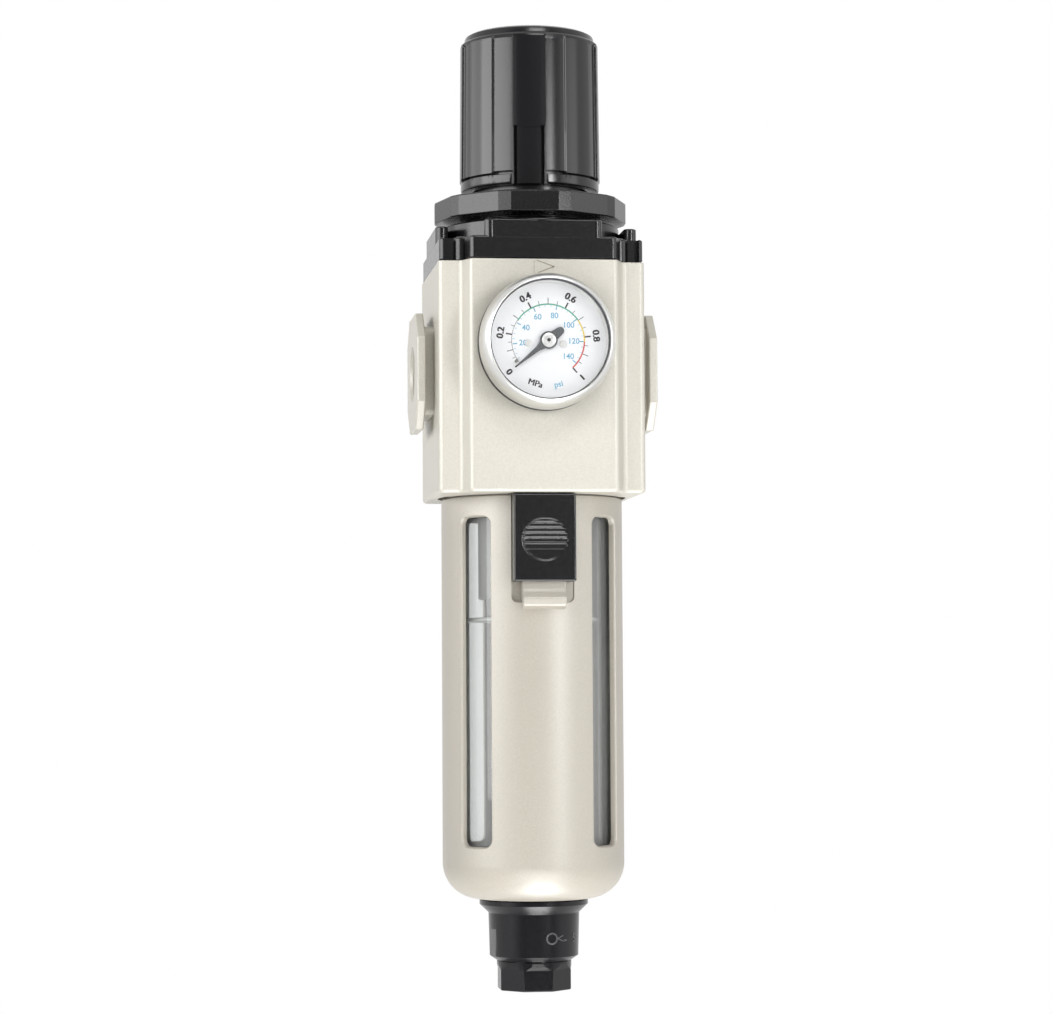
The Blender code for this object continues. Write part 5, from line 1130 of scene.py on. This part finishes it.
def lettering(words, size, distance, angle, upright=False, flip=False, bold=0.014):
    """Text whose middle lies at a distance and angle on the dial, its top outwards unless it is upright."""
    curve = bpy.data.curves.new("words", "FONT")
    curve.body = words
    curve.align_x, curve.align_y = "CENTER", "CENTER"
    curve.size = size
    curve.extrude = PRINT / 2
    curve.offset = size * bold
    obj = bpy.data.objects.new("words", curve)
    bpy.context.scene.collection.objects.link(obj)
    mesh = taken(obj)
    turn = 0 if upright else -math.radians(angle + (180 if flip else 0))
    t = math.radians(90 - angle)
    place = Matrix.Translation((distance * math.cos(t), distance * math.sin(t), DIAL_FACE + PRINT / 2))
    front = Matrix(AXES["front"].T.tolist()).to_4x4()
    mesh.transform(Matrix.Scale(MM, 4) @ Matrix.Translation(AXIS) @ front @ place @ Matrix.Rotation(turn, 4, "Z"))
    tidy(mesh)
    obj = bpy.data.objects.new("words", mesh)
    bpy.context.scene.collection.objects.link(obj)
    return obj


def dial_disc():
    low = -span("gauge_dial")[1][1]
    profile = rounded([(1.0, low), (14.4, low), (14.4, DIAL_FACE, 0.08), (1.0, DIAL_FACE)])
    return skin("dial_plate", facing(spun(profile, 96), "front", AXIS), "ring")


dress(dial_disc(), ENAMEL, "housing", "gauge_dial")
ARC = 8.9
black = [tick(v, ARC, 10.4, 0.36) for v in (0, 0.2, 0.4, 0.6, 0.8, 1.0)]
black += [tick(v / 10, ARC, 10.4, 0.16) for v in (1, 3, 5, 7, 9)]
black += [tick(v / 20, ARC, 9.8, 0.12) for v in range(1, 20, 2)]
black += [band(0, 0.29, ARC - 0.05, ARC + 0.05)]
for shift in (-0.4, 0, 0.4):  # printed three times a hair apart, which thickens the strokes
    black += [lettering(words, 2.3, 11.7, scale_angle(float(words)) + shift) for words in ("0.2", "0.4", "0.6", "0.8")]
    black += [lettering("0", 2.2, 12.1, -129 + shift), lettering("1", 2.2, 12.0, 137 + shift),
              lettering("MPa", 2.1, 10.9, -163 + shift, flip=True, bold=0)]
PSI = 0.006895
blue = [tick(PSI * v, 7.6, ARC - 0.2, 0.26) for v in range(0, 141, 20)]
blue += [tick(PSI * v, 8.1, ARC - 0.2, 0.09) for v in range(0, 145, 5)]
blue += [lettering(str(v), 1.9, 6.2, scale_angle(PSI * v), upright=True) for v in (20, 40, 60, 80, 100, 120, 140)]
blue += [lettering("psi", 2.0, 10.9, 167, flip=True)]
for name, marks in (("black", black), ("blue", blue), ("green", [band(0.29, 0.7, ARC - 0.26, ARC + 0.08)]),
                    ("yellow", [band(0.7, 0.83, ARC - 0.26, ARC + 0.08)]), ("red", [band(0.83, 1, ARC - 0.26, ARC + 0.08)])):
    dress(merged(f"dial_print_{name}", marks), INKS[name], "housing")

# %% [markdown]
# The pointer is a thin blade with a round tail, on a pale hub. It rides on its own body, so it sweeps the dial.

# %% Pointer and dial screws
POINTER_REST = math.radians(-129)


def pointer():
    a = np.radians(np.linspace(180, 360, 11))
    tail = np.column_stack((0.95 * np.cos(a), -3.6 + 0.95 * np.sin(a)))
    b = np.radians(np.linspace(-55, 60, 11))
    hub = np.column_stack((2.15 * np.cos(b), 2.15 * np.sin(b)))
    outline = np.vstack((tail, hub, [(0.62, 3.4), (0.16, 9.9), (-0.16, 9.9), (-0.62, 3.4)], hub[::-1] * (-1, 1)))
    c, s = math.cos(POINTER_REST), math.sin(POINTER_REST)
    outline = outline @ np.array([[c, -s], [s, c]])
    face = DIAL_FACE + 0.9
    blade = carried(outline, np.array([(0, face), (0, face + 0.22), (0.06, face + 0.3)]))
    return skin("pointer_blade", facing(blade, "front", AXIS))


def pointer_hub():
    face = DIAL_FACE + 1.2
    profile = [(0, DIAL_FACE - 2.4), (0.7, DIAL_FACE - 2.4), (0.7, face - 0.4), (1.75, face - 0.4), (1.75, face + 0.4, 0.25),
               (1.15, face + 0.5, 0.1), (1.05, face + 0.3), (0.45, face + 0.3), (0.35, face), (0, face)]
    return skin("pointer_boss", facing(spun(rounded(profile, closed=False), 48), "front", AXIS))


dress(pointer(), NEEDLE_PAINT, "pointer", "gauge_pointer", sharp=20)
dress(pointer_hub(), CASE_METAL, "pointer")
for k in (1, 2):
    low, high = span(f"dial_screw_{k}")
    middle = (low + high) / 2
    profile = rounded([(0, DIAL_FACE), (0.9, DIAL_FACE), (0.95, DIAL_FACE + 0.3, 0.2), (0, DIAL_FACE + 0.45)], closed=False)
    place = (middle[0], 0, middle[2])
    head = skin(f"dial_screw_{k}_head", facing(spun(profile, 36), "front", place))
    bars = [(box_tool("slot", (middle[0] - w, -DIAL_FACE - 1, middle[2] - h), (middle[0] + w, -DIAL_FACE - 0.15, middle[2] + h)),
             "DIFFERENCE") for w, h in ((0.75, 0.2), (0.2, 0.75))]
    dress(worked(head, bars), CASE_METAL, "housing", f"dial_screw_{k}")
t = math.radians(90 + 123)
stop = rounded([(0, DIAL_FACE), (0.4, DIAL_FACE), (0.4, DIAL_FACE + 1.4, 0.1), (0, DIAL_FACE + 1.4)], closed=False)
place = (9.3 * math.cos(t), 0, GAUGE_Z + 9.3 * math.sin(t))
dress(skin("pointer_stop", facing(spun(stop, 24), "front", place)), ZINC, "housing")

# %% [markdown]
# ## Marks on the casting
#
# A flow arrow is printed above the gauge: a line down the middle and an open arrowhead.

# %% Flow arrow
def stroke(name, points, width, face):
    """A printed line on the front panel: each leg is a slab 0.03 mm thick."""
    legs = []
    for a, b in zip(points[:-1], points[1:]):
        a, b = np.array(a, float), np.array(b, float)
        along = unit(b - a)
        across = np.array((-along[1], along[0])) * width / 2
        a, b = a - along * width / 2, b + along * width / 2
        outline = np.array([a - across, b - across, b + across, a + across])
        grid = carried(outline, np.array([(0, face - 0.02), (0, face + PRINT)]))
        legs.append(skin("leg", facing(grid, "front")))
    return merged(name, legs)


dress(stroke("flow_arrow", [(-1.65, 25.35), (2.4, 23.9), (-1.4, 22.4)], 0.28, PANEL_FACE), GREY_INK, "housing")
dress(stroke("flow_arrow_line", [(-2.5, 25.3), (-2.5, 22.3)], 0.12, PANEL_FACE), GREY_INK, "housing")

# %% [markdown]
# ## Hidden parts
#
# The springs, seals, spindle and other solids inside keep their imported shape, which is right for them, and get
# the finish of the real ones.

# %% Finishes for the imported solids
FINISHES = {
    "adjusting_spindle": ZINC, "thrust_washer": ACETAL, "spring_seat": POLYPROPYLENE,
    "diaphragm_plate": BRASS, "relief_seat": BRASS, "poppet": BRASS, "poppet_seal": NITRILE,
    "valve_guide": BLACK, "drain_gasket": NITRILE,
    "drain_nut": BLACK, "drain_stem": BRASS, "gauge_stem": BRASS, "bourdon_tube": BRASS, "rear_port_plug": ZINC,
}
for name, finish in FINISHES.items():
    mesh = bpy.data.objects[name].data
    mesh.materials.clear()
    mesh.materials.append(finish)

# %% [markdown]
# A coil or a diaphragm can't ride on one body: its foot stays and its head follows the piece that presses it.
# Each is a plain copy of the imported solid, with its own mesh, that rides on the body given in the table.

# %% Springs and the diaphragm
for name, finish, body, joint, travel in (
        ("range_spring", SPRING_STEEL, "housing", "seat_travel", 7.5),
        ("valve_spring", SPRING_STEEL, "housing", "diaphragm_stroke", 1.2),
        ("diaphragm", NITRILE, "housing", "diaphragm_stroke", 1.2),
        ("latch_spring", SPRING_STEEL, "bowl_set", "latch_slide", 2.5)):
    low, high = span(name)
    soft = bpy.data.objects.new(name + "_flexing", bpy.data.objects[name].data.copy())
    soft.data.transform(bpy.data.objects[name].matrix_world)
    bpy.context.scene.collection.objects.link(soft)
    dress(soft, finish, body, name)
    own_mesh(soft)

# %% [markdown]
# ## Stage, lamps and camera
#
# The part hangs on its pipes, so the large pale floor lies half a metre below it and soft boxes can light it from
# the sides, above, behind and below. The white surround is seen at full strength only by the camera, in
# reflections and through the clear bowl.

# %% World and floor
def white_world():
    world = bpy.data.worlds.new("studio_white")
    bpy.context.scene.world = world
    world.use_nodes = True
    tree = world.node_tree
    path = node(tree, "ShaderNodeLightPath")
    seen = node(tree, "ShaderNodeMath", {0: path.outputs["Is Camera Ray"], 1: path.outputs["Is Transmission Ray"]},
                operation="MAXIMUM")
    direction = node(tree, "ShaderNodeTexCoord").outputs["Generated"]
    split = node(tree, "ShaderNodeSeparateXYZ", {"Vector": direction})
    backdrop = node(tree, "ShaderNodeMapRange", {"Value": split.outputs["Y"], "From Min": -0.85, "From Max": -0.4,
                                                 "To Min": 0.0, "To Max": 1.0})
    mirrored = node(tree, "ShaderNodeMath", {0: path.outputs["Is Glossy Ray"], 1: backdrop.outputs["Result"]},
                    operation="MULTIPLY")
    white = node(tree, "ShaderNodeMath", {0: seen.outputs[0], 1: mirrored.outputs[0]}, operation="MAXIMUM")
    strength = node(tree, "ShaderNodeMath", {0: white.outputs[0], 1: 0.24}, operation="MAXIMUM")
    background = tree.nodes["Background"]
    background.inputs["Color"].default_value = (1, 1, 1, 1)
    tree.links.new(strength.outputs[0], background.inputs["Strength"])


def floor():
    low = cad_box[0][2] / MM - 500
    side = box_outline(1500, 1500, 200)
    slab = skin("studio_floor", carried(side, np.array([(0, low - 10), (0, low)])))
    made, tree, shader, place = material("studio_floor_paper", "#E8E8E5", Roughness=0.8)
    output = tree.nodes["Material Output"]
    path = node(tree, "ShaderNodeLightPath")
    seen = node(tree, "ShaderNodeMath", {0: path.outputs["Is Camera Ray"], 1: path.outputs["Is Transmission Ray"]},
                operation="MAXIMUM")
    white = node(tree, "ShaderNodeMath", {0: seen.outputs[0], 1: path.outputs["Is Glossy Ray"]}, operation="MAXIMUM")
    glow = node(tree, "ShaderNodeEmission", {"Color": (1, 1, 1, 1), "Strength": 1.0})
    mix = node(tree, "ShaderNodeMixShader", {0: white.outputs[0], 1: shader.outputs[0], 2: glow.outputs[0]})
    tree.links.new(mix.outputs[0], output.inputs["Surface"])
    slab.data.materials.append(made)


white_world()
floor()

# %% Lamps
def softbox(name, place, target, width, height, watts):
    light = bpy.data.lights.new(name, "AREA")
    light.shape = "RECTANGLE"
    light.size, light.size_y = width, height
    light.energy = watts
    lamp = bpy.data.objects.new(name, light)
    bpy.context.scene.collection.objects.link(lamp)
    forward = unit(np.array(target) - place)
    side = unit(np.cross(forward, (0, 0, 1)))
    up = np.cross(side, forward)
    lamp.matrix_world = Matrix(np.vstack((np.column_stack((side, up, -forward, place)), (0, 0, 0, 1))).tolist())
    return lamp


def around(azimuth, distance, height):
    """A place at an angle in degrees from the front, to the right, and a height above the object's middle."""
    a = math.radians(azimuth)
    return np.array((distance * math.sin(a), -distance * math.cos(a), height))


softbox("box_left", around(-64, 0.9, 0.19), (0, 0, 0.08), 0.95, 0.34, 5.6)
softbox("box_left_low", around(-60, 0.9, -0.05), (0, 0, 0), 0.50, 0.18, 0.8)
softbox("box_left_rear", around(-105, 0.9, 0.20), (0, 0, 0.05), 0.5, 0.24, 0.8)
softbox("box_right", around(28, 0.95, 0.07), (0, 0, 0.05), 0.11, 0.32, 3.0)
softbox("box_right_side", around(62, 0.9, 0.10), (0, 0, 0.03), 0.50, 0.40, 1.0)
softbox("box_high", around(8, 0.85, 0.68), (0, 0, 0), 0.42, 0.35, 3.4)
softbox("box_front_low", around(4, 0.62, -0.50), (0, 0, 0), 0.80, 0.32, 2.3)
softbox("box_low", np.array((0.045, -0.13, -0.56)), (0.045, -0.10, 0), 0.18, 0.42, 2.3)

# %% Camera
def camera():
    data = bpy.data.cameras.new("photo_camera")
    data.lens, data.sensor_width = 103.34, 36.0
    data.clip_start, data.clip_end = 0.01, 20
    lens = bpy.data.objects.new("photo_camera", data)
    bpy.context.scene.collection.objects.link(lens)
    turn = (Matrix.Rotation(math.radians(-7.2 + 0.107), 4, "Z") @ Matrix.Rotation(math.radians(93.375), 4, "X")
            @ Matrix.Rotation(math.radians(-0.32), 4, "Z"))
    lens.matrix_world = Matrix.Translation((-0.0951, -0.7530, -0.078)) @ turn
    bpy.context.scene.camera = lens


camera()
bpy.context.scene.view_settings.view_transform = "Standard"
